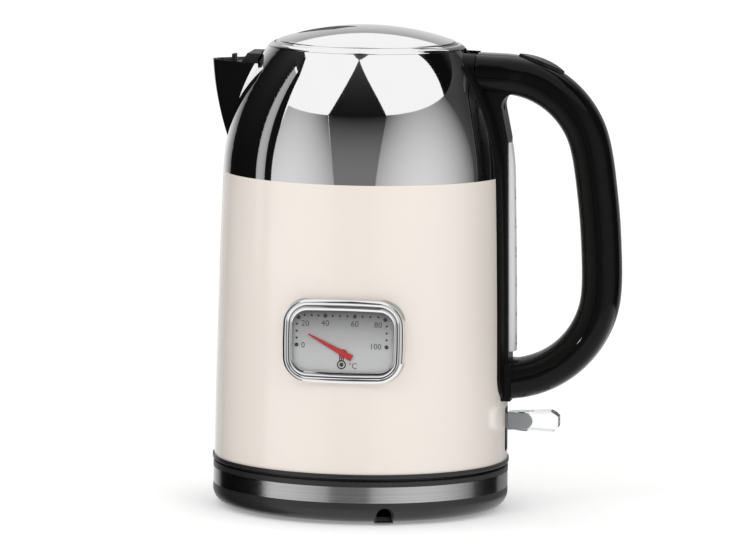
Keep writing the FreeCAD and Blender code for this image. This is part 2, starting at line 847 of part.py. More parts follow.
def filter_frame():
    """Lift-out filter: V-shaped frame, grip tab above the rim and a hood back to the dome."""
    frame = filter_window(slide_gap).cut(filter_window(filter_border))
    top = spout_top - seat_gap - slide_gap
    hood_foot = top - hood_wall
    front = -filter_plane - filter_thickness
    tab = box(front, -filter_plane, -filter_tab_half_width, filter_tab_half_width,
              top - filter_border / 2, top + filter_tab_height)
    roof = [(-hood_front, hood_foot), (-hood_knee, hood_top), (-dome_top_radius, hood_top)]
    hood = extruded(roof + [(-dome_top_radius, hood_top - hood_wall),
                            (-hood_knee + hood_wall / 2, hood_top - hood_wall),
                            (-hood_front + hood_wall, hood_foot - hood_wall)],
                    -hood_half_width, hood_half_width)
    cheeks = [extruded(roof + [(-dome_top_radius, hood_foot)],
                       side * hood_half_width - hood_wall / 2, side * hood_half_width + hood_wall / 2)
              for side in (-1, 1)]
    bridge = box(front + filter_thickness / 2, -hood_front + hood_wall, -hood_half_width, hood_half_width,
                 hood_foot - hood_wall / 2, hood_foot + hood_wall / 2)
    bridge = bridge.common(spout_solid(spout_wall + slide_gap, 2 * spout_root_inset, spout_wall))
    hood_parts = fused(hood, *cheeks).cut(body_core(2 * slide_gap, body_bottom, rim_top))
    return fused(frame, tab, hood_parts, bridge)


def filter_mesh():
    """Perforated sheet in the filter's window."""
    middle = filter_plane + filter_thickness / 2
    front, back = -middle - filter_mesh_sheet / 2, -middle + filter_mesh_sheet / 2
    sheet = box(front, back, -spout_half_width, spout_half_width, filter_foot, spout_top)
    sheet = filter_window(filter_border + run_gap / 2).common(sheet)
    bounds = sheet.BoundBox
    rows = int((bounds.ZMax - bounds.ZMin) / mesh_pitch)
    holes = []
    for row in range(rows):
        z = bounds.ZMax - mesh_pitch * (row + 0.5)
        reach = bounds.YMax * (z - bounds.ZMin) / (bounds.ZMax - bounds.ZMin) - 2 * mesh_hole_radius
        for side in (-1, 1):
            for column in range(int(max(reach, 0) / mesh_pitch) + 1):
                y = side * mesh_pitch * column
                if reach > 0 and (column or side > 0):
                    holes.append(rod(mesh_hole_radius, V(front, y, z), V(back, y, z)))
    return sheet.cut(holes)


# ---------------------------------------------------------------- body shell
def rounded_window(x_low, x_high, half_width, z_low, z_high):
    """Slot through the wall on the handle side with round corners."""
    block = box(x_low, x_high, -half_width, half_width, z_low, z_high)
    edges = [e for e in block.Edges if abs(e.tangentAt(e.FirstParameter).x) > aligned]
    return block.makeFillet(min(half_width, z_high - z_low) / 3, edges)


def handle_screw_parts(grow=0.0):
    """Screws that enter the handle bracket through the body's wall."""
    length = handle_screw_length + handle_screw_head
    tips = [V(body_radius(z, -body_wall) + handle_screw_length, 0, z) for z in handle_screw_heights]
    return [screw(handle_screw_radius + grow, length, handle_screw_head, tip, ALONG_X) for tip in tips]


def hinge_notch(grow=0.0):
    """Gap in the neck that the lid's hinge tongue swings through."""
    half = tongue_half_width + notch_gap + grow
    low = hinge_z - knuckle_radius - notch_gap / 2
    return box(neck_bore - 2 * notch_gap, hinge_x, -half, half, low, rim_top + 1)


def cup_prism(gap, front, back):
    """Prism around the gauge's cup, larger all round by a gap."""
    grow = 2 * (cup_wall + gap)
    return slab(opening_width + grow, opening_height + grow, opening_corner + grow / 2, front, back, gauge_z)


def body_shell():
    rim_inner = neck_bore + body_wall
    bend = (rim_top - dome_top) / 4
    profile = surface_run(body_bottom, dome_top, 0.0)
    inner = surface_run(body_bottom, dome_top - body_wall / 2, -body_wall)
    inner_join = inner[1][2:]
    shell = revolved(
        profile + [
            (dome_top_radius - bend, rim_top - bend, neck_bore + 2 * body_wall - bend, rim_top),
            (neck_bore + bend, rim_top),
            (neck_bore + arc_middle * bend, rim_top - arc_middle * bend, neck_bore, rim_top - bend),
            (neck_bore, neck_bottom), (rim_inner, neck_bottom), (rim_inner, rim_top - body_wall),
            (inner[2][2], inner[2][3]),
            (inner[2][0], inner[2][1], inner_join[0], inner_join[1]),
            (inner[1][0], inner[1][1], inner[0][0], inner[0][1])])
    outside = base_radius + overrun
    lever_slot = rounded_window(paint_line_radius - overrun, outside, slot_half_width - seat_gap,
                                slot_bottom, slot_top)
    sight_slot = rounded_window(dome_top_radius, outside, window_slot_half_width,
                                window_bottom + window_flange, window_top - 2 * window_flange)
    gauge_hole = cup_prism(seat_gap, bezel_front, cup_back - 1)
    spout_hole = spout_solid(spout_wall, 4 * spout_root_inset, 2 * spout_wall)
    screw_holes = handle_screw_parts(run_gap)
    return cut(shell, lever_slot, sight_slot, gauge_hole, spout_hole, hinge_notch(), *screw_holes)


def build_jug():
    keep("jug_connector", jug_connector().cut(Part.makeCompound(jug_contacts())))
    keep("jug_contacts", *jug_contacts())
    keep("bottom_ring", bottom_ring())
    keep("underside_cover", underside_cover())
    keep("bottom_screws", *bottom_screws())
    shell = body_shell()
    above = box(-lid_apex, lid_apex, -lid_apex, lid_apex, paint_line, lid_apex)
    keep("body_shell", shell.cut(above))
    keep("dome_shell", shell.common(above))
    keep("spout", cut(spout_solid(), spout_solid(spout_wall, 2 * spout_root_inset, 2 * spout_wall),
                      body_core(0.0, body_bottom, rim_top)))
    keep("filter_frame", filter_frame())
    keep("filter_mesh", filter_mesh())


# ---------------------------------------------------------------- lid
def lid_height(radius, drop=0.0):
    """Height of the lid's spherical top, lowered by drop."""
    rise = lid_apex - lid_edge_z
    sphere = (lid_edge_radius ** 2 + rise ** 2) / (2 * rise)
    return lid_apex - sphere + math.sqrt((sphere - drop) ** 2 - radius ** 2)


def lid_cover():
    """Polished cap with a groove and a rolled bead around its edge."""
    mid = lid_edge_radius / 2
    groove = (lid_bead_radius - lid_edge_radius) / 6
    bead_start = lid_edge_radius + 2 * groove
    inner_edge = lid_edge_radius - lid_sheet
    return revolved([
        (0, lid_height(0)), (mid, lid_height(mid), lid_edge_radius, lid_edge_z),
        (lid_edge_radius + groove, lid_edge_z - groove_dip * groove), (bead_start, lid_edge_z - groove / 2),
        (lid_bead_radius - groove / 2, lid_edge_z - bead_fall * groove,
         lid_bead_radius - groove, lid_bead_bottom),
        (inner_edge, lid_bead_bottom), (inner_edge, lid_height(inner_edge, lid_sheet)),
        (mid, lid_height(mid, lid_sheet), 0, lid_height(0, lid_sheet))])


def lid_liner():
    """Inner cup of the lid, with the seal's groove and three screw posts."""
    flange = lid_edge_radius - lid_sheet - seat_gap
    groove_low = liner_bottom + liner_floor
    groove_high = groove_low + lid_seal_height + 2 * run_gap
    groove_radius = liner_radius - liner_wall / 2
    flange_top = lid_bead_bottom + liner_wall / 2
    inner = liner_radius - liner_wall
    step = groove_radius - liner_wall
    liner = revolved([
        (0, liner_bottom), (liner_radius, liner_bottom), (liner_radius, groove_low),
        (groove_radius, groove_low), (groove_radius, groove_high), (liner_radius, groove_high),
        (liner_radius, lid_bead_bottom), (flange, lid_bead_bottom), (flange, flange_top),
        (inner, flange_top), (inner, groove_high), (step, groove_high - liner_wall / 2), (step, groove_low),
        (0, groove_low)])
    posts = []
    bores = []
    for angle in around(lid_boss_count, first_lid_boss):
        centre = polar(lid_boss_circle, angle)
        top = lid_height(lid_boss_circle + boss_radius, lid_sheet) - seat_gap
        posts.append(cylinder(boss_radius, groove_low, top, centre.x, centre.y))
        bores.append(cylinder(base_screw_radius, liner_bottom, top - liner_wall, centre.x, centre.y))
    liner = fused(liner, *posts)
    half, reach = tongue_half_width + run_gap, knuckle_radius + run_gap
    slot = box(tongue_inner_x - seat_gap, liner_radius + liner_wall, -half, half,
               hinge_z - reach, hinge_z + reach)
    return cut(liner, slot, *bores)


def lid_screws():
    top = lid_height(lid_boss_circle + boss_radius, lid_sheet) - seat_gap - liner_wall
    return [screw(base_screw_radius, top - liner_bottom, liner_floor / 2,
                  polar(lid_boss_circle, a, top), UP) for a in around(lid_boss_count, first_lid_boss)]


def lid_seal():
    low = liner_bottom + liner_floor + run_gap
    inner = liner_radius - liner_wall / 2 + run_gap
    return tube(inner, neck_bore - lid_seal_gap, low, low + lid_seal_height)


def hinge_arm():
    """Tongue of the lid through the neck, with its knuckles on the hinge pin."""
    low, high = hinge_z - knuckle_radius, hinge_z + knuckle_radius
    tongue = box(tongue_inner_x, hinge_x, -tongue_half_width, tongue_half_width, low, high)
    knuckles = crossbar(knuckle_radius, tongue_half_width, hinge_x, hinge_z)
    anchor = box(tongue_inner_x, tongue_inner_x + liner_wall, -anchor_half_width, anchor_half_width,
                 low, high)
    ear_slot = box(hinge_x - knuckle_radius - 2 * slide_gap, hinge_x + 2 * knuckle_radius,
                   -ear_half_width - slide_gap, 2 * ear_half_width + slide_gap,
                   low - knuckle_radius, high + knuckle_radius)
    bore = crossbar(hinge_pin_radius + run_gap, hinge_pin_half_length, hinge_x, hinge_z)
    return fused(tongue, knuckles, anchor).cut(ear_slot).cut(bore)


def build_lid():
    keep("lid_cover", lid_cover())
    keep("lid_liner", lid_liner())
    keep("lid_seal", lid_seal())
    keep("lid_screws", *lid_screws())
    keep("hinge_arm", hinge_arm())
    keep("hinge_pin", crossbar(hinge_pin_radius, hinge_pin_half_length, hinge_x, hinge_z))
    keep("lid_spring", coil(lid_spring_radius, lid_spring_wire, 4, ear_half_width - 4 * lid_spring_wire,
                            V(hinge_x, ear_half_width + 2 * lid_spring_wire, hinge_z), ALONG_Y))


# ---------------------------------------------------------------- handle loop
def eased(share):
    share = min(max(share, 0.0), 1.0)
    return share * share * (3 - 2 * share)


def handle_width(heading):
    """Half the handle's width: wide at the head, slim in the grip, a little wider at the foot."""
    if heading > side_arc_end:
        share = eased(heading / head_narrowed)
        return head_half_width + (grip_half_width - head_half_width) * share
    share = eased((heading - side_arc_end - foot_lead) / (bottom_arc_end - side_arc_end - foot_lead))
    return grip_half_width + (foot_half_width - grip_half_width) * share


def side_arc_radius():
    """Radius of the grip's long arc, which brings the loop's end down to the handle's foot."""
    headings = (start_heading, top_arc_end, side_arc_end, bottom_arc_end)
    start, top, side, end = [math.radians(heading) for heading in headings]
    head_fall = -top_run * math.sin(start) + top_arc * (math.cos(start) - math.cos(top))
    foot_fall = bottom_arc * (math.cos(side) - math.cos(end))
    return (handle_top - handle_foot - head_fall - foot_fall) / (math.cos(top) - math.cos(side))


def path_stations():
    """Stations (x, z, heading) along the handle's outer line, from the head over the grip to the foot."""
    stations = []
    x, z, heading = handle_start_x, handle_top, start_heading
    turn = math.radians(heading)
    for step in range(head_stations):
        run = top_run * step / head_stations
        stations.append((x + run * math.cos(turn), z + run * math.sin(turn), heading))
    x, z = x + top_run * math.cos(turn), z + top_run * math.sin(turn)
    for radius, end, steps in ((top_arc, top_arc_end, top_stations),
                               (side_arc_radius(), side_arc_end, side_stations),
                               (bottom_arc, bottom_arc_end, bottom_stations)):
        first = math.radians(heading)
        cx, cz = x + radius * math.sin(first), z - radius * math.cos(first)
        for step in range(steps):
            angle = heading + (end - heading) * step / steps
            turn = math.radians(angle)
            stations.append((cx - radius * math.sin(turn), cz + radius * math.cos(turn), angle))
        turn = math.radians(end)
        x, z, heading = cx - radius * math.sin(turn), cz + radius * math.cos(turn), end
    stations.append((x, z, heading))
    return stations


def top_arc_centre():
    turn = math.radians(start_heading)
    x = handle_start_x + top_run * math.cos(turn)
    z = handle_top + top_run * math.sin(turn)
    return x + top_arc * math.sin(turn), z - top_arc * math.cos(turn)


def on_station(station, depth, across):
    """Point at a depth inside the handle's outer line and a distance across it."""
    x, z, heading = station
    turn = math.radians(heading)
    return V(x + depth * math.sin(turn), across, z - depth * math.cos(turn))


def half_oval(station, seam, rise, half_width, power):
    """Curve from one side to the other: half a superellipse standing on the seam depth."""
    points = []
    for step in range(section_points):
        angle = math.pi * step / (section_points - 1) - math.pi / 2
        across = half_width * math.copysign(abs(math.sin(angle)) ** (2 / power), angle)
        depth = seam + rise * abs(math.cos(angle)) ** (2 / power)
        points.append(on_station(station, depth, across))
    curve = Part.BSplineCurve()
    curve.interpolate(points)
    return curve.toShape(), points[0], points[-1]


def shell_section(station, seam, rise, half_width, wall, power):
    """Closed C-shaped section: rise is negative towards the outer line and positive towards the palm."""
    inner_rise = math.copysign(abs(rise) - wall, rise)
    outer, outer_start, outer_end = half_oval(station, seam, rise, half_width, power)
    inner, inner_start, inner_end = half_oval(station, seam, inner_rise, half_width - wall, power)
    return Part.Wire([outer, Part.LineSegment(outer_end, inner_end).toShape(), inner,
                      Part.LineSegment(inner_start, outer_start).toShape()])


def handle_cover_shell():
    wires = [shell_section(s, handle_seam, -handle_seam, handle_width(s[2]), cover_wall, cover_roundness)
             for s in path_stations()]
    return Part.makeLoft(wires, True, False)


def handle_cover():
    """Outer half of the loop, trimmed to the bracket at both ends, with the button's opening."""
    foot = box(0, foot_seam_x, -base_radius, base_radius, 0, handle_top / 2)
    return cut(handle_cover_shell(), lens_prism(slide_gap, -overrun, handle_seam), foot,
               body_core(flange_thickness + seam_gap, body_bottom, rim_top))


def extended_stations():
    """The cover's stations with straight ends that run into the body."""
    stations = path_stations()
    x, z, heading = stations[0]
    turn = math.radians(heading)
    run = handle_start_x - neck_bore
    first = (x - run * math.cos(turn), z - run * math.sin(turn), heading)
    x, z, heading = stations[-1]
    turn = math.radians(heading)
    last = (x + lining_foot_run * math.cos(turn), z + lining_foot_run * math.sin(turn), heading)
    return [first] + stations + [last]


def handle_lining():
    """Inner half of the loop as one C-shaped shell."""
    seam = handle_seam + seam_gap
    wires = [shell_section(s, seam, handle_depth - seam, handle_width(s[2]) - lining_inset, lining_wall,
                           lining_roundness) for s in extended_stations()]
    return Part.makeLoft(wires, True, False)


def loop_fill(low_depth, high_depth, half_width, first_heading, last_heading):
    """Ring segment inside the top arc, between two depths and two headings."""
    cx, cz = top_arc_centre()

    def at(depth, heading):
        turn = math.radians(heading)
        radius = top_arc - depth
        return cx - radius * math.sin(turn), cz + radius * math.cos(turn)

    middle = (first_heading + last_heading) / 2
    outer = (*at(low_depth, middle), *at(low_depth, last_heading))
    inner = (*at(high_depth, middle), *at(high_depth, first_heading))
    return extruded([at(low_depth, first_heading), outer, at(high_depth, last_heading), inner],
                    -half_width, half_width)


# ---------------------------------------------------------------- handle bracket
def flange():
    """Conformal plate on the body under the handle."""
    grown = body_core(flange_thickness, body_bottom, rim_top - 1)
    block = box(0, 2 * base_radius, -flange_half_width, flange_half_width, flange_bottom, head_top)
    corners = [e for e in block.Edges if abs(e.tangentAt(e.FirstParameter).x) > aligned
               and e.CenterOfMass.z < (flange_bottom + head_top) / 2]
    return grown.common(block.makeFillet(flange_corner, corners))


def standing_proud(z, proud):
    """Point (x, z) in front of the body on the handle side."""
    return body_radius(z) + proud, z


def ridge():
    """Upright of the loop along the body, with the round web into the head."""
    palm = handle_top - handle_depth
    corner_z = palm - web_radius + lining_wall / 4
    head_x, head_z = standing_proud(corner_z, ridge_head_proud)
    knee_z = window_top + ridge_edge
    upright = extruded([(dome_top_radius, ridge_bottom), standing_proud(ridge_bottom, ridge_proud),
                        (*standing_proud((ridge_bottom + knee_z) / 2, ridge_proud),
                         *standing_proud(knee_z, ridge_top_proud)),
                        (head_x, head_z), (dome_top_radius, head_z)], -ridge_half_width, ridge_half_width)
    front = [e for e in upright.Edges if e.CenterOfMass.x > head_x
             and abs(e.tangentAt(e.FirstParameter).y) < crossways]
    upright = upright.makeFillet(ridge_edge, front)
    corner_x = head_x + web_radius
    web = box(dome_top_radius, corner_x, -ridge_half_width, ridge_half_width,
              head_z - ridge_edge, palm + 3 * lining_wall / 4)
    return fused(upright, web.cut(crossbar(web_radius, flange_half_width, corner_x, corner_z)))


def head_section(run, proud):
    """Closed section of the cover's half of the loop, a run before its start and proud of its surface."""
    x, z, heading = path_stations()[0]
    turn = math.radians(heading)
    station = (x - run * math.cos(turn), z - run * math.sin(turn), heading)
    curve, start, end = half_oval(station, handle_seam + seam_gap, -handle_seam - seam_gap - proud,
                                  head_half_width + proud, cover_roundness)
    return Part.Wire([curve, Part.LineSegment(end, start).toShape()])


def head_collar():
    """Collar between dome and cover, with a space in its middle for the lid's hinge."""
    runs = (handle_start_x - neck_bore, slide_gap)
    raised = Part.makeLoft([head_section(run, collar_proud) for run in runs], True, False)
    plain = Part.makeLoft([head_section(run, 0.0) for run in runs], True, False)
    below = box(0, 2 * base_radius, -base_radius, base_radius, 0, handle_top - collar_depth)
    half = tongue_half_width + slide_gap
    hinge_space = box(0, handle_start_x, -half, half, head_top, lid_apex)
    return fused(plain, raised.cut(below)).cut(hinge_space)


def head_block():
    """Head between dome and cover: collar, tenon under the cover and the fixed hinge ear."""
    seam_z = handle_top - handle_seam
    under = box(neck_bore, handle_start_x + cover_wall, -tenon_half_width, tenon_half_width,
                seam_z - head_drop, tenon_top)
    ear = crossbar(ear_radius, ear_half_width, hinge_x, hinge_z)
    strut = box(hinge_x - ear_radius, handle_start_x + cover_wall, -ear_half_width, ear_half_width,
                head_top - cover_wall, handle_top - cover_wall - seat_gap)
    return fused(head_collar(), under, ear, strut)


def foot_block():
    foot = path_stations()[-1][1]
    return box(dome_top_radius, foot_seam_x - seam_gap, -foot_block_half_width, foot_block_half_width,
               foot, foot + handle_depth - 1)


def window_body(grow=0.0):
    """Lens of the water window, grown by a clearance."""
    low, high = window_bottom - grow, window_top + grow
    proud = window_proud + grow
    back = body_radius(window_top) - window_flange
    return extruded([(back, low), standing_proud(low, proud),
                     (*standing_proud((low + high) / 2, proud), *standing_proud(high, proud)),
                     (back, high)], -window_half_width - grow, window_half_width + grow)


def handle_frame():
    inside = body_core(run_gap, body_bottom, rim_top)
    blocks = fused(*[part.cut(inside) for part in (flange(), ridge(), head_block(), foot_block())])
    deck = loop_fill(deck_depth, deck_depth + deck_thickness,
                     grip_half_width - lining_inset - lining_wall / 2, deck_start, deck_end)
    loop = blocks.fuse(handle_lining().cut(inside).fuse(deck))
    rod_bore = rod(latch_rod_radius + run_gap, V(neck_bore, 0, (latch_bottom + latch_top) / 2),
                   V(latch_body_start, 0, (latch_bottom + latch_top) / 2))
    pin_bore = crossbar(hinge_pin_radius, hinge_pin_half_length, hinge_x, hinge_z)
    seat_x = body_radius(window_bottom) + window_flange
    window_seat = box(dome_top_radius, seat_x, -window_half_width - window_flange - slide_gap,
                      window_half_width + window_flange + slide_gap,
                      window_bottom - window_flange - slide_gap, window_top + window_flange + slide_gap)
    window_seat = window_seat.common(body_core(window_flange_thickness + run_gap))
    for tool in (rod_bore, pin_bore, window_body(run_gap), window_seat, *handle_screw_parts(run_gap)):
        loop = loop.cut(tool)
    return loop


def water_window():
    """Clear sight lens standing out of the ridge, with a flange trapped against the body."""
    lens = window_body()
    front = [e for e in lens.Edges if e.CenterOfMass.x > body_radius(window_top) + window_flange
             and abs(e.tangentAt(e.FirstParameter).y) < crossways]
    lens = lens.makeFillet(window_edge, front)
    brim = box(dome_top_radius, base_radius + overrun, -window_half_width - window_flange,
               window_half_width + window_flange, window_bottom - window_flange, window_top + window_flange)
    brim = brim.common(body_core(window_flange_thickness))
    whole = fused(lens, brim).cut(body_core(seat_gap + run_gap))
    channel = box(dome_top_radius, base_radius + 1, -window_slot_half_width, window_slot_half_width,
                  window_bottom + window_flange, window_top - 2 * window_flange)
    return whole.cut(channel)


def window_seal():
    """Thin gasket between the lens's flange and the body."""
    half = window_half_width + window_flange
    frame = box(dome_top_radius, base_radius + overrun, -half, half, window_bottom - window_flange,
                window_top + window_flange)
    hole = box(dome_top_radius, base_radius + overrun, -window_slot_half_width - seat_gap,
               window_slot_half_width + seat_gap, window_bottom + window_flange - seat_gap,
               window_top - 2 * window_flange + seat_gap)
    return frame.common(body_core(seat_gap)).cut(body_core(run_gap)).cut(hole)


# ---------------------------------------------------------------- button and latch
def button_frame():
    """Centre of the button on the handle's outer line and its outward direction."""
    cx, cz = top_arc_centre()
    turn = math.radians(button_heading)
    outward = V(-math.sin(turn), 0, math.cos(turn))
    return V(cx, 0, cz) + outward * top_arc, outward


def lens_prism(grow, low, high):
    """Leaf-shaped prism about the button's direction, from depth low to depth high below the surface."""
    centre, outward = button_frame()
    along, across = button_half_length + grow, button_half_width + grow
    arcs = [Part.Arc(V(-along, 0, 0), V(0, side * across, 0), V(along, 0, 0)).toShape() for side in (-1, 1)]
    face = Part.Face(Part.Wire(arcs))
    prism = face.extrude(V(0, 0, high - low))
    prism.Placement = FreeCAD.Placement(centre - outward * high, FreeCAD.Rotation(UP, outward))
    return prism


def arc_layer(low_depth, high_depth):
    """Everything between two depths below the top arc (about its axis)."""
    cx, cz = top_arc_centre()
    half = 2 * grip_half_width
    return crossbar(top_arc - low_depth, half, cx, cz).cut(crossbar(top_arc - high_depth, half, cx, cz))


def lid_button():
    reach = button_depth + button_travel + overrun
    pad = lens_prism(0.0, -overrun, reach).common(arc_layer(-button_proud, button_depth))
    brim_bottom = button_brim_depth + button_flange_thickness
    brim = lens_prism(button_flange, -overrun, reach).common(arc_layer(button_brim_depth, brim_bottom))
    edge_low = top_arc + button_proud / 2
    cx, cz = top_arc_centre()
    top_edges = [e for e in pad.Edges
                 if math.hypot(e.CenterOfMass.x - cx, e.CenterOfMass.z - cz) > edge_low]
    pad = pad.makeFillet(button_proud / 2, top_edges)
    leg = box(button_leg_x - button_leg_thickness / 2, button_leg_x + button_leg_thickness / 2,
              -button_leg_half_width, button_leg_half_width, button_leg_bottom, handle_top)
    leg = leg.common(arc_layer(button_brim_depth, top_arc / 2))
    return fused(pad, brim, leg)


def latch_slider():
    """Push rod from the button's leg to the heel of the hinge."""
    z = (latch_bottom + latch_top) / 2
    end = button_leg_x - button_leg_thickness / 2 - seat_gap
    body = box(latch_body_start, end, -latch_half_width, latch_half_width, latch_bottom, latch_top)
    return fused(body, rod(latch_rod_radius, V(latch_rod_start, 0, z), V(latch_body_start, 0, z)))


def button_spring():
    centre, outward = button_frame()
    low = deck_depth
    high = button_brim_depth + button_flange_thickness
    length = low - high - 2 * spring_wire - 2 * seat_gap
    start = centre - outward * (low - spring_wire - seat_gap)
    return coil(button_spring_radius, spring_wire, 4, length, start, outward)


def latch_spring():
    z = (latch_bottom + latch_top) / 2
    length = latch_body_start - latch_spring_start - 2 * spring_wire
    return coil(latch_spring_radius, spring_wire, 4, length, V(latch_spring_start, 0, z), ALONG_X)


def build_handle():
    keep("handle_frame", handle_frame())
    keep("handle_cover", handle_cover())
    keep("lid_button", lid_button())
    keep("latch_slider", latch_slider())
    keep("button_spring", button_spring())
    keep("latch_spring", latch_spring())
    keep("handle_screws", *handle_screw_parts())
    keep("water_window", water_window())
    keep("window_seal", window_seal())


# ---------------------------------------------------------------- temperature gauge
def gauge_bezel():
    """Chrome frame standing on the body, with a step down to the glass."""
    back = bezel_front - bezel_lip
    frame = slab(bezel_width, bezel_height, bezel_corner, bezel_front, 0, gauge_z)
    rim = [e for e in frame.Edges if abs(e.CenterOfMass.y + bezel_front) < 1e-6]
    frame = frame.makeFillet(bezel_step_depth, rim)
    step_width = opening_width + 2 * bezel_step
    step_height = opening_height + 2 * bezel_step
    step = slab(step_width, step_height, opening_corner + bezel_step, bezel_front + 1,
                bezel_front - bezel_step_depth, gauge_z)
    opening = slab(opening_width, opening_height, opening_corner, bezel_front + 1, 0, gauge_z)
    cup_space = cup_prism(seat_gap / 2, back, 0)
    return cut(frame, step, opening, cup_space, body_core(gasket_thickness + run_gap))


def gauge_housing():
    """Cup through the body's wall that holds the dial and the bimetal coil."""
    front = bezel_front - bezel_lip - run_gap
    cup = cup_prism(0.0, front, cup_back)
    glass_seat = slab(opening_width + cup_wall, opening_height + cup_wall, opening_corner + cup_wall / 2,
                      front, front - glass_thickness - run_gap, gauge_z)
    throat = slab(opening_width, opening_height, opening_corner,
                  front, dial_plane - dial_thickness, gauge_z)
    cavity = slab(opening_width - cup_wall, opening_height - cup_wall, opening_corner - cup_wall / 2,
                  dial_plane, cup_back + cup_wall, gauge_z)
    bearing = rod(shaft_radius + run_gap, V(0, -dial_plane, gauge_z - dial_hub_drop),
                  V(0, -cup_back - cup_wall / 3, gauge_z - dial_hub_drop))
    bush = rod(2 * shaft_radius, V(0, -shaft_back - cup_wall, gauge_z - dial_hub_drop),
               V(0, -cup_back - cup_wall / 2, gauge_z - dial_hub_drop))
    return cut(fused(cut(cup, glass_seat, throat, cavity), bush), bearing)


def gauge_dial():
    plate = slab(opening_width - 2 * run_gap, opening_height - 2 * run_gap, opening_corner - run_gap,
                 dial_plane, dial_plane - dial_thickness, gauge_z)
    hole = rod(shaft_radius + 2 * run_gap, V(0, -dial_plane - 1, gauge_z - dial_hub_drop),
               V(0, -dial_plane + dial_thickness + 1, gauge_z - dial_hub_drop))
    return plate.cut(hole)


def gauge_glass():
    front = bezel_front - bezel_lip - 2 * run_gap
    return slab(opening_width + cup_wall - 2 * run_gap, opening_height + cup_wall - 2 * run_gap,
                opening_corner + cup_wall / 2 - run_gap, front, front - glass_thickness, gauge_z)


def gauge_needle():
    """Tapered pointer with a round hub, turned to its reading."""
    hub_z = gauge_z - dial_hub_drop
    front = dial_plane + needle_clear + needle_thickness
    pointer = extruded([(-needle_length, hub_z - needle_tip_half), (needle_tail, hub_z - needle_tail_half),
                        (needle_tail, hub_z + needle_tail_half), (-needle_length, hub_z + needle_tip_half)],
                       -front, -front + needle_thickness)
    hub = rod(hub_radius, V(0, -front, hub_z), V(0, -front + needle_thickness, hub_z))
    needle = fused(pointer, hub).cut(rod(shaft_radius, V(0, -front, hub_z), V(0, -dial_plane, hub_z)))
    needle.rotate(V(0, 0, hub_z), ALONG_Y, needle_rise)
    return needle


def needle_shaft():
    hub_z = gauge_z - dial_hub_drop
    front = dial_plane + needle_clear + needle_thickness
    cap = front + needle_thickness
    return fused(rod(shaft_radius, V(0, -cap, hub_z), V(0, -shaft_back, hub_z)),
                 rod(2 * shaft_radius, V(0, -cap, hub_z), V(0, -front - run_gap, hub_z)))


def bimetal_coil():
    """Flat spiral of bimetal strip behind the dial."""
    hub_z = gauge_z - dial_hub_drop
    back = shaft_back + cup_wall + seat_gap
    edges = []
    previous = None
    steps = coil_turns * turn_points
    for side in (0, 1):
        points = []
        for step in range(steps + 1):
            angle = 2 * math.pi * step / turn_points
            radius = coil_inner + coil_pitch * step / turn_points + side * coil_strip
            points.append(V(radius * math.cos(angle), -back, hub_z + radius * math.sin(angle)))
        if side:
            points.reverse()
        curve = Part.BSplineCurve()
        curve.interpolate(points)
        if previous:
            edges.append(Part.LineSegment(previous[-1], points[0]).toShape())
        edges.append(curve.toShape())
        first = previous[0] if previous else points[0]
        previous = points
    edges.append(Part.LineSegment(previous[-1], first).toShape())
    return Part.Face(Part.Wire(edges)).extrude(V(0, -coil_height, 0))


def gauge_gasket():
    outer = slab(bezel_width - 2 * seat_gap, bezel_height - 2 * seat_gap, bezel_corner - seat_gap,
                 bezel_front, 0, gauge_z)
    ring = outer.common(body_core(gasket_thickness)).cut(body_core(run_gap))
    return ring.cut(cup_prism(seat_gap, bezel_front + 1, 0))


def build_gauge():
    keep("gauge_bezel", gauge_bezel())
    keep("gauge_housing", gauge_housing())
    keep("gauge_dial", gauge_dial())
    keep("gauge_glass", gauge_glass())
    keep("gauge_needle", gauge_needle())
    keep("needle_shaft", needle_shaft())
    keep("bimetal_coil", bimetal_coil())
    keep("gauge_gasket", gauge_gasket())


# ---------------------------------------------------------------- build and write
def main():
    build_power_base()
    build_controls()
    build_jug()
    build_lid()
    build_handle()
    build_gauge()
    os.makedirs("parts", exist_ok=True)
    for name, solids in nodes.items():
        shape = solids[0] if len(solids) == 1 else Part.makeCompound(solids)
        sound = all(piece.isValid() and piece.Volume > 0 for piece in solids)
        print(f"{name:20s} solids {len(solids)} volume {shape.Volume:10.1f} {'' if sound else 'INVALID'}")
        shape.exportStep(os.path.join("parts", name + ".step"))


main()
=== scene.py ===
import bpy
import bmesh
import json
import math
from mathutils import Matrix, Vector


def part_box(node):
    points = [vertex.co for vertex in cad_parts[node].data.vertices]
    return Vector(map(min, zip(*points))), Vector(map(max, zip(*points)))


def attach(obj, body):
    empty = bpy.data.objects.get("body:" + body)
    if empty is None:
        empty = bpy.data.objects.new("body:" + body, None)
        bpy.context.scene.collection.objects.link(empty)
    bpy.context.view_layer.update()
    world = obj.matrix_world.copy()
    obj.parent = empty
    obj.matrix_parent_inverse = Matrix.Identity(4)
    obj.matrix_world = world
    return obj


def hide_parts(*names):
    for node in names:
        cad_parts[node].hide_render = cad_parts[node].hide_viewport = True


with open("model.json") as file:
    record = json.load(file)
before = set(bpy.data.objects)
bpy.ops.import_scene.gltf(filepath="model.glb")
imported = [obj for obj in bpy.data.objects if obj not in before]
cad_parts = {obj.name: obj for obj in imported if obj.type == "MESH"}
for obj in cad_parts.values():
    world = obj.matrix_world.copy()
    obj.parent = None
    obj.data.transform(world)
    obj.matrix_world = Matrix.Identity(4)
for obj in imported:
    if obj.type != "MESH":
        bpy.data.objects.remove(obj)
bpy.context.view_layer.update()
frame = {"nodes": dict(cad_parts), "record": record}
NODES = frame["nodes"]
BODY_OF = {n: b for b, members in frame["record"]["behaviour"]["bodies"].items() for n in members}
SLOT_OF = {s["node"]: s["material_slot"] for s in frame["record"]["subparts"]}
MM = 0.001


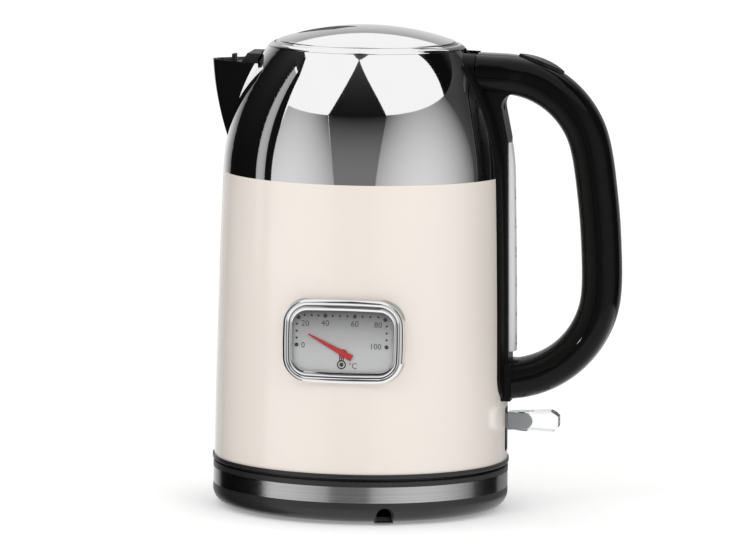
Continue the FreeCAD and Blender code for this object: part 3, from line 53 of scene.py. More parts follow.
# ---------------------------------------------------------------- materials
def material(name):
    """New material with its nodes, its links and its one surface shader."""
    mat = bpy.data.materials.new(name)
    mat.use_nodes = True
    return mat, mat.node_tree.nodes, mat.node_tree.links, mat.node_tree.nodes["Principled BSDF"]


def ramp(nodes, stops):
    """Colour ramp through the given (place, colour) stops."""
    node = nodes.new("ShaderNodeValToRGB")
    while len(node.color_ramp.elements) < len(stops):
        node.color_ramp.elements.new(0.5)
    for element, (place, value) in zip(node.color_ramp.elements, stops):
        element.position = place
        element.color = (*value, 1.0)
    return node


def noise(nodes, links, vector, scale, detail=3.0, rough=0.5):
    node = nodes.new("ShaderNodeTexNoise")
    node.inputs["Scale"].default_value = scale
    node.inputs["Detail"].default_value = detail
    node.inputs["Roughness"].default_value = rough
    links.new(vector, node.inputs["Vector"])
    return node


def tinted(nodes, links, factor, colour, spread):
    """The colour, a little darker or lighter by a share as the factor runs."""
    low = tuple(max(0.0, c * (1 - spread)) for c in colour)
    high = tuple(min(1.0, c * (1 + spread)) for c in colour)
    node = ramp(nodes, [(0.3, low), (0.7, high)])
    links.new(factor, node.inputs["Fac"])
    return node.outputs["Color"]


def spanned(nodes, links, factor, low, high):
    """The middle of a noise's range carried onto low to high."""
    node = nodes.new("ShaderNodeMapRange")
    node.inputs["From Min"].default_value = 0.25
    node.inputs["From Max"].default_value = 0.75
    node.inputs["To Min"].default_value = low
    node.inputs["To Max"].default_value = high
    links.new(factor, node.inputs["Value"])
    return node.outputs["Result"]


def bumped(nodes, links, height, strength, distance, shader):
    node = nodes.new("ShaderNodeBump")
    node.inputs["Strength"].default_value = strength
    node.inputs["Distance"].default_value = distance
    links.new(height, node.inputs["Height"])
    links.new(node.outputs["Normal"], shader.inputs["Normal"])


def surface(name, colour, rough, metal=0.0, spread=0.06, rough_spread=0.2, grain=900.0, bump=0.05,
            depth=0.0002, ior=1.5, coat=0.0, coat_rough=0.05, coat_ior=1.5, patch=14.0):
    """Moulded, painted or rolled surface: fine grain in the bump, slow patches in colour and roughness."""
    mat, nodes, links, shader = material(name)
    place = nodes.new("ShaderNodeTexCoord").outputs["Object"]
    slow = noise(nodes, links, place, patch, 4.0)
    fine = noise(nodes, links, place, grain, 2.0)
    links.new(tinted(nodes, links, slow.outputs["Fac"], colour, spread), shader.inputs["Base Color"])
    gloss = spanned(nodes, links, slow.outputs["Fac"], rough * (1 - rough_spread), rough * (1 + rough_spread))
    links.new(gloss, shader.inputs["Roughness"])
    bumped(nodes, links, fine.outputs["Fac"], bump, depth, shader)
    shader.inputs["Metallic"].default_value = metal
    shader.inputs["IOR"].default_value = ior
    shader.inputs["Coat Weight"].default_value = coat
    shader.inputs["Coat Roughness"].default_value = coat_rough
    shader.inputs["Coat IOR"].default_value = coat_ior
    return mat


def brushed(name, colour, rough, bump=0.12):
    """Metal brushed around the vertical axis: fine level lines over slow patches."""
    mat, nodes, links, shader = material(name)
    place = nodes.new("ShaderNodeTexCoord").outputs["Object"]
    stretch = nodes.new("ShaderNodeMapping")
    stretch.inputs["Scale"].default_value = (6.0, 6.0, 2600.0)
    links.new(place, stretch.inputs["Vector"])
    lines = noise(nodes, links, stretch.outputs["Vector"], 1.0, 4.0, 0.7)
    slow = noise(nodes, links, place, 9.0, 2.0)
    mixed = nodes.new("ShaderNodeMath")
    mixed.operation = "MULTIPLY_ADD"
    mixed.inputs[1].default_value = 0.75
    links.new(lines.outputs["Fac"], mixed.inputs[0])
    eased = nodes.new("ShaderNodeMath")
    eased.operation = "MULTIPLY"
    eased.inputs[1].default_value = 0.25
    links.new(slow.outputs["Fac"], eased.inputs[0])
    links.new(eased.outputs[0], mixed.inputs[2])
    links.new(tinted(nodes, links, mixed.outputs[0], colour, 0.10), shader.inputs["Base Color"])
    links.new(spanned(nodes, links, mixed.outputs[0], rough * 0.8, rough * 1.25), shader.inputs["Roughness"])
    bumped(nodes, links, lines.outputs["Fac"], bump, 0.0001, shader)
    shader.inputs["Metallic"].default_value = 1.0
    shader.inputs["Anisotropic"].default_value = 0.5
    return mat


def clear(name, colour, rough, ior):
    """Clear moulded plastic or glass."""
    mat, nodes, links, shader = material(name)
    place = nodes.new("ShaderNodeTexCoord").outputs["Object"]
    slow = noise(nodes, links, place, 30.0, 2.0)
    links.new(tinted(nodes, links, slow.outputs["Fac"], colour, 0.01), shader.inputs["Base Color"])
    gloss = spanned(nodes, links, slow.outputs["Fac"], rough * 0.7, rough * 1.3)
    links.new(gloss, shader.inputs["Roughness"])
    shader.inputs["Transmission Weight"].default_value = 1.0
    shader.inputs["IOR"].default_value = ior
    return mat


def dial_face():
    """Satin grey dial with painted shade: darker under the frame's upper edge and lighter towards its foot.
    """
    mat, nodes, links, shader = material("dial_silver")
    low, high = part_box("gauge_dial")
    place = nodes.new("ShaderNodeTexCoord").outputs["Object"]
    split = nodes.new("ShaderNodeSeparateXYZ")
    links.new(place, split.inputs[0])
    climb = nodes.new("ShaderNodeMapRange")
    climb.inputs["From Min"].default_value = low.z
    climb.inputs["From Max"].default_value = high.z
    links.new(split.outputs["Z"], climb.inputs["Value"])
    # painted shade: the dial's grey runs from light at its foot to dark at its top edge, where the frame
    # shades it
    shade = ramp(nodes, [(0.0, (0.56,) * 3), (0.35, (0.50,) * 3), (0.62, (0.37,) * 3), (0.84, (0.21,) * 3),
                         (0.97, (0.10,) * 3)])
    links.new(climb.outputs["Result"], shade.inputs["Fac"])
    fine = noise(nodes, links, place, 2500.0, 2.0)
    mixed = nodes.new("ShaderNodeMix")
    mixed.data_type = "RGBA"
    mixed.blend_type = "OVERLAY"
    mixed.inputs["Factor"].default_value = 0.06
    links.new(shade.outputs["Color"], mixed.inputs["A"])
    links.new(fine.outputs["Color"], mixed.inputs["B"])
    links.new(mixed.outputs["Result"], shader.inputs["Base Color"])
    shader.inputs["Roughness"].default_value = 0.5
    shader.inputs["Specular IOR Level"].default_value = 0.3
    bumped(nodes, links, fine.outputs["Fac"], 0.03, 0.0001, shader)
    return mat


MATS = {
    "cream_paint": surface("cream_paint", (0.86, 0.785, 0.72), 0.30, spread=0.008, rough_spread=0.12,
                           grain=420.0, bump=0.012, coat=1.0, coat_rough=0.10, coat_ior=1.65),
    "dome_chrome": surface("dome_chrome", (0.90, 0.90, 0.905), 0.035, metal=1.0, spread=0.01,
                           rough_spread=0.35, grain=260.0, bump=0.004),
    "polished_steel": surface("polished_steel", (0.88, 0.88, 0.885), 0.05, metal=1.0, spread=0.015,
                              rough_spread=0.35, grain=300.0, bump=0.006),
    "brushed_band": brushed("brushed_band", (0.62, 0.62, 0.63), 0.14, bump=0.04),
    "inner_steel": brushed("inner_steel", (0.60, 0.60, 0.60), 0.34),
    "screw_steel": surface("screw_steel", (0.55, 0.55, 0.56), 0.28, metal=1.0, grain=1800.0, bump=0.08),
    "spreader_aluminium": brushed("spreader_aluminium", (0.72, 0.72, 0.73), 0.4),
    "contact_brass": surface("contact_brass", (0.78, 0.58, 0.26), 0.22, metal=1.0, grain=1500.0),
    "coil_copper": surface("coil_copper", (0.72, 0.42, 0.24), 0.3, metal=1.0, grain=1500.0),
    "black_plastic": surface("black_plastic", (0.016, 0.016, 0.017), 0.34, grain=1600.0, bump=0.10),
    "gloss_black": surface("gloss_black", (0.0035, 0.0035, 0.0036), 0.12, grain=500.0, bump=0.01, ior=1.24),
    "grey_plastic": surface("grey_plastic", (0.30, 0.31, 0.32), 0.35, grain=1500.0, bump=0.06),
    "needle_red": surface("needle_red", (0.42, 0.006, 0.009), 0.4, grain=2500.0, bump=0.03),
    "dial_silver": dial_face(),
    "clear_lens": clear("clear_lens", (0.97, 0.98, 0.985), 0.02, 1.49),
    "clear_glass": clear("clear_glass", (0.985, 0.99, 0.99), 0.005, 1.18),
    "filter_mesh": surface("filter_mesh", (0.55, 0.55, 0.53), 0.45, grain=2500.0),
    "black_rubber": surface("black_rubber", (0.022, 0.022, 0.022), 0.7, grain=1200.0, bump=0.25),
    "seal_rubber": surface("seal_rubber", (0.48, 0.48, 0.46), 0.6, grain=900.0, bump=0.15),
    "satin_black": surface("satin_black", (0.0055, 0.0055, 0.0052), 0.26, grain=1300.0, bump=0.05, ior=1.22),
    "button_black": surface("button_black", (0.010, 0.010, 0.010), 0.24, grain=1300.0, bump=0.05, ior=1.3),
    "window_pale": surface("window_pale", (0.88, 0.885, 0.885), 0.16, spread=0.02, grain=800.0, bump=0.01,
                           ior=1.35),
    "mark_ink": surface("mark_ink", (0.014, 0.014, 0.016), 0.5, grain=2500.0, bump=0.03),
}


# ---------------------------------------------------------------- mesh helpers
def shown(name, mesh, node, mats):
    """A finished mesh that stands for a CAD node and rides on its body."""
    obj = bpy.data.objects.new(name, mesh)
    bpy.context.scene.collection.objects.link(obj)
    mesh.materials.clear()
    for mat in mats:
        mesh.materials.append(MATS[mat])
    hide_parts(node)
    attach(obj, BODY_OF[node])
    return obj


def added(name, mesh, body, mat):
    """Extra surface detail that rides on a body."""
    obj = bpy.data.objects.new(name, mesh)
    bpy.context.scene.collection.objects.link(obj)
    mesh.materials.clear()
    mesh.materials.append(MATS[mat])
    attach(obj, body)
    return obj


def built(name, points, faces, smooth=True):
    """Mesh from plain points and faces."""
    mesh = bpy.data.meshes.new(name)
    mesh.from_pydata([tuple(p) for p in points], [], faces)
    mesh.update()
    if smooth:
        mesh.shade_smooth()
    return mesh


def with_normals(mesh, rule):
    """Exact normals where rule(place, face normal) gives one, the mesh's own elsewhere."""
    normals = [Vector(n.vector) for n in mesh.corner_normals]
    touched = set()
    for face in mesh.polygons:
        exact = [rule(mesh.vertices[mesh.loops[i].vertex_index].co, face.normal) for i in face.loop_indices]
        if all(n is not None for n in exact):
            touched.add(face.index)
            for i, n in zip(face.loop_indices, exact):
                normals[i] = n
    mesh.shade_smooth()
    mesh.normals_split_custom_set(normals)
    return touched


def bands(rows, count, closed=False):
    """Faces between successive rings of count points, and from the last back to the first where closed."""
    pairs = [(k, (k + 1) % rows) for k in range(rows if closed else rows - 1)]
    return [(p * count + i, p * count + (i + 1) % count, q * count + (i + 1) % count, q * count + i)
            for p, q in pairs for i in range(count)]


# faces of a thin plate: four corners of one side, then the same four of the other
PLATE = [(3, 2, 1, 0), (4, 5, 6, 7), (0, 1, 5, 4), (1, 2, 6, 5), (2, 3, 7, 6), (3, 0, 4, 7)]


def disc(centre, radius, out, thick, count=24):
    """Flat round mark: centre, outward direction, small thickness."""
    side = out.cross(Vector((0, 0, 1))).normalized()
    up = side.cross(out).normalized()
    points = [centre + (side * math.cos(t) + up * math.sin(t)) * radius + out * h
              for h in (0.0, thick) for t in (2 * math.pi * i / count for i in range(count))]
    faces = [tuple(range(count, 2 * count)), tuple(reversed(range(count)))]
    return points, faces + bands(2, count)


def gathered(name, parts):
    """One mesh from several lists of points and faces."""
    points, faces = [], []
    for p, f in parts:
        faces += [tuple(i + len(points) for i in face) for face in f]
        points += list(p)
    return built(name, points, faces, smooth=False)


def lettering(name, text, size, place, thick):
    """Text facing -Y, centred on place, as a thin solid mesh."""
    curve = bpy.data.curves.new(name, "FONT")
    curve.body, curve.size, curve.extrude = text, size, thick / 2
    curve.align_x, curve.align_y = "CENTER", "CENTER"
    curve.resolution_u = 4
    helper = bpy.data.objects.new(name, curve)
    bpy.context.scene.collection.objects.link(helper)
    bpy.context.view_layer.update()
    mesh = bpy.data.meshes.new_from_object(helper.evaluated_get(bpy.context.evaluated_depsgraph_get()))
    bpy.data.objects.remove(helper)
    mesh.transform(Matrix.Translation(place) @ Matrix.Rotation(math.radians(90), 4, "X"))
    return mesh


def joined(name, meshes):
    """One mesh from several."""
    work = bmesh.new()
    for mesh in meshes:
        work.from_mesh(mesh)
    made = bpy.data.meshes.new(name)
    work.to_mesh(made)
    work.free()
    return made


# ---------------------------------------------------------------- body shell
def circle_through(a, b, c):
    """Centre and radius of the circle through three points."""
    (ax, ay), (bx, by), (cx, cy) = a, b, c
    d = 2 * (ax * (by - cy) + bx * (cy - ay) + cx * (ay - by))
    a_sq, b_sq, c_sq = (x * x + y * y for x, y in (a, b, c))
    ux = (a_sq * (by - cy) + b_sq * (cy - ay) + c_sq * (ay - by)) / d
    uy = (a_sq * (cx - bx) + b_sq * (ax - cx) + c_sq * (bx - ax)) / d
    return ux, uy, math.hypot(ax - ux, ay - uy)


# outline of the jug's skin, as (radius, height) in mm
BOTTOM, MIDDLE, PAINT_LINE, NECK = (76.0, 26.4), (75.1, 100.0), (73.2, 173.7), (52.0, 236.5)
BARREL = circle_through(BOTTOM, MIDDLE, PAINT_LINE)
LIP_TOP = 238.3       # where the drawn dome meets the lid


def dome_circle():
    """Arc that leaves the paint line without a crease and passes through the neck."""
    inward = Vector((BARREL[0] - PAINT_LINE[0], BARREL[1] - PAINT_LINE[1])).normalized()
    chord = Vector((NECK[0] - PAINT_LINE[0], NECK[1] - PAINT_LINE[1]))
    radius = chord.length_squared / (2 * chord.dot(inward))
    return PAINT_LINE[0] + inward.x * radius, PAINT_LINE[1] + inward.y * radius, radius


DOME = dome_circle()


def wall(z_mm):
    """Outer radius of the body and its outward slope at a height, in mm."""
    cr, cz, radius = BARREL if z_mm <= PAINT_LINE[1] else DOME
    out = math.sqrt(max(radius ** 2 - (z_mm - cz) ** 2, 0.0))
    return cr + out, out / radius, (z_mm - cz) / radius


def wall_normal(co, face_normal):
    """Normal of the jug's outer curve at a point on it, and nothing elsewhere."""
    z = co.z / MM
    if not BOTTOM[1] - 0.01 <= z <= LIP_TOP + 0.01:
        return None
    radius, level, rise = wall(z)
    r = math.hypot(co.x, co.y)
    if abs(r / MM - radius) > 0.03 or face_normal.x * co.x + face_normal.y * co.y <= 0.3 * r:
        return None
    return Vector((co.x / r * level, co.y / r * level, rise))


def draw_up(mesh):
    """Carry the dome's curve on over the rolled lip, up to the foot of the lid."""
    top = max(v.co.z for v in mesh.vertices) / MM
    rolled = 50.6     # radius in mm that parts the lip's outer face from its inner one
    for v in mesh.vertices:
        z, r = v.co.z / MM, math.hypot(v.co.x, v.co.y) / MM
        if z > NECK[1] + 0.001:
            z = NECK[1] + (z - NECK[1]) * (LIP_TOP - NECK[1]) / (top - NECK[1])
            grow = wall(z)[0] / r if r > rolled else 1.0
            v.co = (v.co.x * grow, v.co.y * grow, z * MM)


def make_wall(node, name, outside):
    """One half of the jug's skin: exact curve outside, brushed steel inside."""
    mesh = NODES[node].data.copy()
    if node == "dome_shell":
        draw_up(mesh)
    outer = with_normals(mesh, wall_normal)
    obj = shown(name, mesh, node, [outside, "inner_steel"])
    for face in mesh.polygons:
        lip = face.center.z > (NECK[1] - 0.2) * MM
        face.material_index = 0 if lip or face.index in outer else 1
    return obj


make_wall("body_shell", "body_finish", "cream_paint")
make_wall("dome_shell", "dome_finish", "dome_chrome")


# ---------------------------------------------------------------- lid
def turned(name, profile, count=180, crease=35):
    """Solid turned about the vertical axis from a closed outline of (radius, height) in mm."""
    points, rings, faces = [], [], []
    for r, z in profile:
        if r < 1e-6:
            rings.append([len(points)] * count)
            points.append((0, 0, z * MM))
        else:
            rings.append(list(range(len(points), len(points) + count)))
            points += [(r * MM * math.cos(t), r * MM * math.sin(t), z * MM)
                       for t in (2 * math.pi * i / count for i in range(count))]
    for low, high in zip(rings, rings[1:] + rings[:1]):
        for i in range(count):
            corners = (low[i], low[(i + 1) % count], high[(i + 1) % count], high[i])
            face = tuple(dict.fromkeys(corners))
            if len(face) > 2:
                faces.append(face)
    mesh = built(name, points, faces)
    mesh.set_sharp_from_angle(angle=math.radians(crease))
    return mesh


def make_lid():
    """Spherical cap with a rounded edge, a bright sloping ring, and a shoulder that carries on the dome."""
    lo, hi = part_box("lid_cover")
    apex, foot, edge_r, edge_z = hi.z / MM, lo.z / MM, 48.2, 240.6
    rise = apex - edge_z
    sphere = (edge_r ** 2 + rise ** 2) / (2 * rise)

    def cap(r, drop=0.0):
        return apex - sphere + math.sqrt((sphere - drop) ** 2 - r * r)

    shoulder = [(47.42, foot), (50.55, foot), (50.45, foot + 0.25), (50.0, foot + 0.8), (49.3, foot + 1.35),
                (48.6, foot + 1.72), (47.9, foot + 1.93), (47.3, foot + 2.0)]
    ring = [(47.12, foot + 1.8), (46.95, foot + 1.98), (46.5, foot + 2.32), (46.05, foot + 2.6),
            (45.8, foot + 2.58)]
    edge = [(45.7, foot + 2.35), (45.66, foot + 2.75), (45.5, foot + 3.05), (45.22, foot + 3.2)]
    top = [(r, cap(r)) for r in (44.9 * (1 - i / 24) for i in range(25))]
    under = [(47.0 * i / 12, cap(47.0 * i / 12, 0.5) - 0.9 * (i / 12) ** 8) for i in range(13)]
    mesh = turned("lid", shoulder + ring + edge + top + under)

    def cap_normal(co, face_normal):
        x, y, z = co.x / MM, co.y / MM, co.z / MM - (apex - sphere)
        if face_normal.z < 0.3 or abs(math.sqrt(x * x + y * y + z * z) - sphere) > 0.003:
            return None
        return Vector((x, y, z)) / sphere

    with_normals(mesh, cap_normal)
    return shown("lid_finish", mesh, "lid_cover", ["polished_steel"])


make_lid()

# ---------------------------------------------------------------- gauge
GAUGE_LO, GAUGE_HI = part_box("gauge_bezel")
GAUGE_Z = (GAUGE_LO.z + GAUGE_HI.z) / 2
DIAL_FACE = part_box("gauge_dial")[0].y
OUTWARD = Vector((0, -1, 0))
INK = 0.04 * MM       # thickness of printed marks
CORNERS = ((1, 1), (-1, 1), (-1, -1), (1, -1))


def rounded_ring(width, height, corner, steps=20, run=6):
    """Points of a rounded rectangle, counted the same for any size."""
    def at(turn, degrees):
        sx, sz = CORNERS[turn % 4]
        t = math.radians(degrees)
        return (sx * (width / 2 - corner) + corner * math.cos(t),
                sz * (height / 2 - corner) + corner * math.sin(t))

    points = []
    for turn in range(4):
        points += [at(turn, 90 * turn + 90 * i / steps) for i in range(steps + 1)]
        start, end = points[-1], at(turn + 1, 90 * turn + 90)
        points += [tuple(a + (b - a) * i / run for a, b in zip(start, end)) for i in range(1, run)]
    return points


def bezel_profile(front):
    """Section of the frame in mm: inset at the sides, inset at head and foot, and how far out it stands.
    Where the last is None, the section meets the wall of the jug."""
    bead, bead_root, bead_rise, bead_lean = 1.55, front - 1.7, 1.6, 0.35
    groove, groove_half, groove_floor = 3.35, 0.12, front - 1.40
    ring_start, ring_out, ring_crown, ring_fall = 3.60, front - 0.85, 0.22, 0.25
    side_lip, tall_lip, back, rebate = 4.75, 5.6, front - 1.45, 3.05
    steps = [(0.0, 0.0, None), (0.0, 0.0, front - 3.2)]
    for i in range(17):
        share = i / 16
        t = math.pi * (1 - share)
        inset = bead * (1 + math.cos(t))
        steps.append((inset, inset, bead_root + bead_rise * math.sin(t) + bead_lean * share ** 2))
    steps += [(groove + h, groove + h, groove_floor) for h in (-groove_half, groove_half)]
    # the groove's floor and outer wall are coloured black: painted shade in the groove
    dark = {len(steps) - 2, len(steps) - 1}
    for i in range(7):
        share = i / 6
        steps.append((ring_start + (side_lip - ring_start) * share,
                      ring_start + (tall_lip - ring_start) * share,
                      ring_out + ring_crown * math.sin(math.pi * share) - ring_fall * share))
    steps += [(side_lip, tall_lip, back), (groove, groove, back)]
    steps += [(rebate, rebate, back), (rebate, rebate, None)]
    return steps, dark


def make_bezel():
    """Chrome frame: broad outer bead, thin groove painted black as shade, and a sloping inner ring, seated on
    the body.
    """
    width, height, corner = GAUGE_HI.x - GAUGE_LO.x, GAUGE_HI.z - GAUGE_LO.z, 12.0 * MM
    side_bulge, tall_bulge, seat, wrapped = 0.030, 0.045, 0.65, 0.8
    profile, dark = bezel_profile(-GAUGE_LO.y / MM)
    points = []
    for inset_x, inset_z, depth in profile:
        ring = rounded_ring(width - 2 * inset_x * MM, height - 2 * inset_z * MM, corner - inset_x * MM)
        for x, z in ring:
            x, z = (x * (1 - side_bulge * (2 * z / height) ** 2), z * (1 - tall_bulge * (2 * x / width) ** 2))
            if depth is None:
                reach = wall((GAUGE_Z + z) / MM)[0] + seat
                points.append((x, -math.sqrt((reach * MM) ** 2 - x * x), GAUGE_Z + z))
            else:
                points.append((x, -depth * MM, GAUGE_Z + z))
    count = len(points) // len(profile)
    mesh = built("bezel", points, bands(len(profile), count, closed=True))
    work = bmesh.new()
    work.from_mesh(mesh)
    bmesh.ops.recalc_face_normals(work, faces=work.faces)
    work.to_mesh(mesh)
    work.free()
    mesh.set_sharp_from_angle(angle=math.radians(50))
    normals = []
    for loop, normal in zip(mesh.loops, mesh.corner_normals):
        turn = wrapped * mesh.vertices[loop.vertex_index].co.x / (BOTTOM[0] * MM)
        normals.append(Matrix.Rotation(turn, 3, "Z") @ Vector(normal.vector))
    mesh.normals_split_custom_set(normals)
    obj = shown("bezel_finish", mesh, "gauge_bezel", ["polished_steel", "black_rubber"])
    # the black material on the groove's faces is painted shade
    for face in mesh.polygons:
        face.material_index = 1 if face.index // count in dark else 0
    return obj


def dial_path(centre_x, half_width, top, foot, corner):
    """Scale line: up the left side, across the top and down the right side, relative to the dial."""
    points = [(centre_x - half_width, foot)]
    for start, middle in ((180, centre_x - half_width + corner), (90, centre_x + half_width - corner)):
        for i in range(13):
            t = math.radians(start - 90 * i / 12)
            points.append((middle + corner * math.cos(t), top - corner + corner * math.sin(t)))
    points.append((centre_x + half_width, foot))
    return points


def length_of(path):
    """Length of a path of (x, z) points."""
    return sum(math.dist(a, b) for a, b in zip(path, path[1:]))


def along(path, share):
    """Point at a share of a path's length."""
    left = length_of(path) * share
    for a, b in zip(path, path[1:]):
        run = math.dist(a, b)
        if left <= run or b == path[-1]:
            return a[0] + (b[0] - a[0]) * left / run, a[1] + (b[1] - a[1]) * left / run
        left -= run


def on_dial(x_mm, z_mm, proud=0.0):
    """Place on the dial's face, from the middle of the gauge."""
    return Vector((x_mm * MM, DIAL_FACE - proud, GAUGE_Z + z_mm * MM))


def make_scale():
    """Dots every five degrees and figures every twenty, along a line inside the frame, and the unit."""
    top, foot, big, small, figure = 12.8, -2.4, 1.05 * MM, 0.58 * MM, 4.1 * MM
    path = dial_path(-1.0, 23.0, top, foot, 3.4)
    side = (top - 1.0 - foot) / length_of(path)
    stops = [0.0, side, 0.385, 0.59, 1 - side, 1.0]
    dots = []
    for low, high in zip(stops, stops[1:] + [None]):
        dots.append(disc(on_dial(*along(path, low)), big, OUTWARD, INK))
        if high is not None:
            between = [low + (high - low) * j / 4 for j in (1, 2, 3)]
            dots += [disc(on_dial(*along(path, share)), small, OUTWARD, INK) for share in between]
    added("dial_dots", gathered("dial_dots", dots), "jug", "mark_ink")
    inward = {"0": (3.3, -0.2), "20": (3.5, -3.1), "40": (0.0, -3.9), "60": (0.0, -3.9), "80": (-3.6, -2.9),
              "100": (-5.6, 0.0)}
    words = []
    for share, (text, (dx, dz)) in zip(stops, inward.items()):
        x, z = along(path, share)
        words.append(lettering("figure_" + text, text, figure, on_dial(x + dx, z + dz, INK / 2), INK))
    words.append(lettering("unit", "°C", figure, on_dial(4.9, -12.6, INK / 2), INK))
    added("dial_figures", joined("dial_figures", words), "jug", "mark_ink")


def make_thermometer():
    """Small thermometer at the foot of the dial: a ringed bulb and three strokes for the stem."""
    bulb, bulb_radius, outer, inner, steps = on_dial(-0.9, -12.0), 1.1 * MM, 2.35 * MM, 1.65 * MM, 36
    rim = []
    for r, h in ((outer, 0), (outer, INK), (inner, INK), (inner, 0)):
        rim += [bulb + Vector((r * math.cos(t), -h, r * math.sin(t)))
                for t in (2 * math.pi * i / steps for i in range(steps))]
    parts = [(rim, bands(4, steps, closed=True)), disc(bulb, bulb_radius, OUTWARD, INK)]
    foot, head = 2.0, 5.2
    for left, right in ((-1.2, -0.62), (0.62, 1.2), (-0.3, 0.3)):
        stroke = [bulb + Vector((x * MM, -h, z * MM)) for h in (0, INK)
                  for x, z in ((left, foot), (right, foot), (right, head), (left, head))]
        parts.append((stroke, [tuple(reversed(face)) for face in PLATE]))
    added("dial_thermometer", gathered("thermometer", parts), "jug", "mark_ink")


make_bezel()
make_scale()
make_thermometer()

# ---------------------------------------------------------------- other nodes keep their CAD mesh
FINISH = dict(SLOT_OF)
FINISH.update({"gauge_dial": "dial_silver", "gauge_needle": "needle_red", "needle_shaft": "needle_red",
               "handle_cover": "gloss_black", "lid_button": "button_black", "handle_frame": "satin_black",
               "water_window": "window_pale"})
for node, obj in NODES.items():
    obj.data.materials.clear()
    obj.data.materials.append(MATS[FINISH[node]])

# clear pieces let the lamps' light through to what lies behind them
for node in ("gauge_glass", "power_lever"):
    NODES[node].visible_shadow = False


# ---------------------------------------------------------------- water window and handle screws
WINDOW_LO, WINDOW_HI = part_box("water_window")
FLANGE, PANE_HALF, PANE_EDGE = 2.2 * MM, 6.4 * MM, 3.0 * MM
PROUD = WINDOW_HI.x / MM - wall((WINDOW_LO.z + FLANGE) / MM)[0]     # of the jug's wall, in mm
PANE_SEAT = 0.6                                                      # behind the pane, in mm


def window_face(z):
    """Front of the water window at a height: it leans with the wall of the jug."""
    return (wall(z / MM)[0] + PROUD) * MM


def make_window():
    """Pale window with a closed face and rounded long edges."""
    low, high, rows, steps = WINDOW_LO.z + FLANGE, WINDOW_HI.z - FLANGE, 48, 8
    points = []
    for j in range(rows + 1):
        z = low + (high - low) * j / rows
        face, seat = window_face(z), (wall(z / MM)[0] + PANE_SEAT) * MM
        points.append((seat, -PANE_HALF, z))
        for side in (-1, 1):
            for i in range(steps + 1):
                t = math.radians(90 * (i if side < 0 else steps - i) / steps)
                points.append((face - PANE_EDGE * (1 - math.sin(t)),
                               side * (PANE_HALF - PANE_EDGE * (1 - math.cos(t))), z))
        points.append((seat, PANE_HALF, z))
    count = len(points) // (rows + 1)
    ends = [tuple(reversed(range(count))), tuple(range(rows * count, len(points)))]
    mesh = built("window", points, bands(rows + 1, count) + ends)
    mesh.set_sharp_from_angle(angle=math.radians(50))
    return shown("window_finish", mesh, "water_window", ["window_pale"])


def make_level_marks():
    """Level figures up the water window, each with a short bar under it, facing the hand gap."""
    pitch, first, figure = 15.1 * MM, WINDOW_LO.z + 9.0 * MM, 3.8 * MM
    half_bar, half_line, under, off_face = 3.3 * MM, 0.35 * MM, 3.2 * MM, 0.02 * MM
    parts = []
    for step, text in enumerate(("0.5", "", "1.0", "1.25", "1.5", "1.7")):
        at = first + pitch * step
        if text:
            word = lettering("level_" + text.replace(".", "_"), text, figure, (0, 0, 0), INK)
            word.transform(Matrix.Translation((0, 0, at)) @ Matrix.Rotation(math.radians(90), 4, "Z"))
            parts.append(word)
        bar = [(h, sy * half_bar, sz * half_line + at - under) for h in (0, INK)
               for sy, sz in ((-1, -1), (1, -1), (1, 1), (-1, 1))]
        parts.append(built("bar", bar, PLATE, smooth=False))
    mesh = joined("level_marks", parts)
    for v in mesh.vertices:
        v.co.x += window_face(v.co.z) + off_face
    added("level_marks", mesh, "jug", "mark_ink")


def make_screws():
    """Handle screws, the upper head sunk flush into the grip's root."""
    mesh = NODES["handle_screws"].data.copy()
    flush, upper, left = 71.0 * MM, 200.0 * MM, 0.05
    for v in mesh.vertices:
        if v.co.z > upper and v.co.x > flush:
            v.co.x = flush + (v.co.x - flush) * left
    return shown("screws_finish", mesh, "handle_screws", ["black_plastic"])


make_window()
make_level_marks()
make_screws()


# ---------------------------------------------------------------- stage
def staged(name, mesh, mat):
    """Something round the object that isn't part of it."""
    obj = bpy.data.objects.new(name, mesh)
    bpy.context.scene.collection.objects.link(obj)
    mesh.materials.append(mat)
    return obj


def glow(name):
    """Studio card that shines with the tone held at its points."""
    mat = bpy.data.materials.new(name)
    mat.use_nodes = True
    nodes, links = mat.node_tree.nodes, mat.node_tree.links
    nodes.clear()
    out = nodes.new("ShaderNodeOutputMaterial")
    shader = nodes.new("ShaderNodeEmission")
    tone = nodes.new("ShaderNodeAttribute")
    tone.attribute_name = "tone"
    links.new(tone.outputs["Fac"], shader.inputs["Color"])
    links.new(shader.outputs[0], out.inputs["Surface"])
    return mat


def blended(values, share):
    """Smooth passage through one, two or three evenly spaced values."""
    if len(values) == 1:
        return values[0]
    if len(values) == 2:
        return values[0] + (values[1] - values[0]) * share
    a, b, c = values
    return (a * (1 - share) * (1 - 2 * share) + b * 4 * share * (1 - share) + c * share * (2 * share - 1))


CARD_CENTRE, CARD_REACH = Vector((0, 0, 0.2)), 3.0
DARKEST = 0.004


def card(name, rows, tones, reach=CARD_REACH, steps=32):
    """Card seen only in reflections. Each row, foot first, gives its left and right ends as
    (azimuth, elevation) seen from the jug; each row of tones gives the brightness from left to right."""
    points, shades = [], []
    for j in range(steps + 1):
        v = j / steps
        ends = [blended([Vector(row[side]) for row in rows], v) for side in (0, 1)]
        for i in range(steps + 1):
            u = i / steps
            az, el = (math.radians(angle) for angle in ends[0] * (1 - u) + ends[1] * u)
            out = Vector((math.cos(el) * math.cos(az), math.cos(el) * math.sin(az), math.sin(el)))
            points.append(CARD_CENTRE + out * reach)
            shades.append(max(DARKEST, blended([blended(row, u) for row in tones], v)))
    n = steps + 1
    faces = [(j * n + i, j * n + i + 1, (j + 1) * n + i + 1, (j + 1) * n + i)
             for j in range(steps) for i in range(steps)]
    mesh = built(name, points, faces)
    layer = mesh.attributes.new("tone", "FLOAT", "POINT")
    layer.data.foreach_set("value", shades)
    obj = staged(name, mesh, glow(name))
    for kind in ("camera", "diffuse", "transmission", "volume_scatter", "shadow"):
        setattr(obj, "visible_" + kind, False)
    return obj


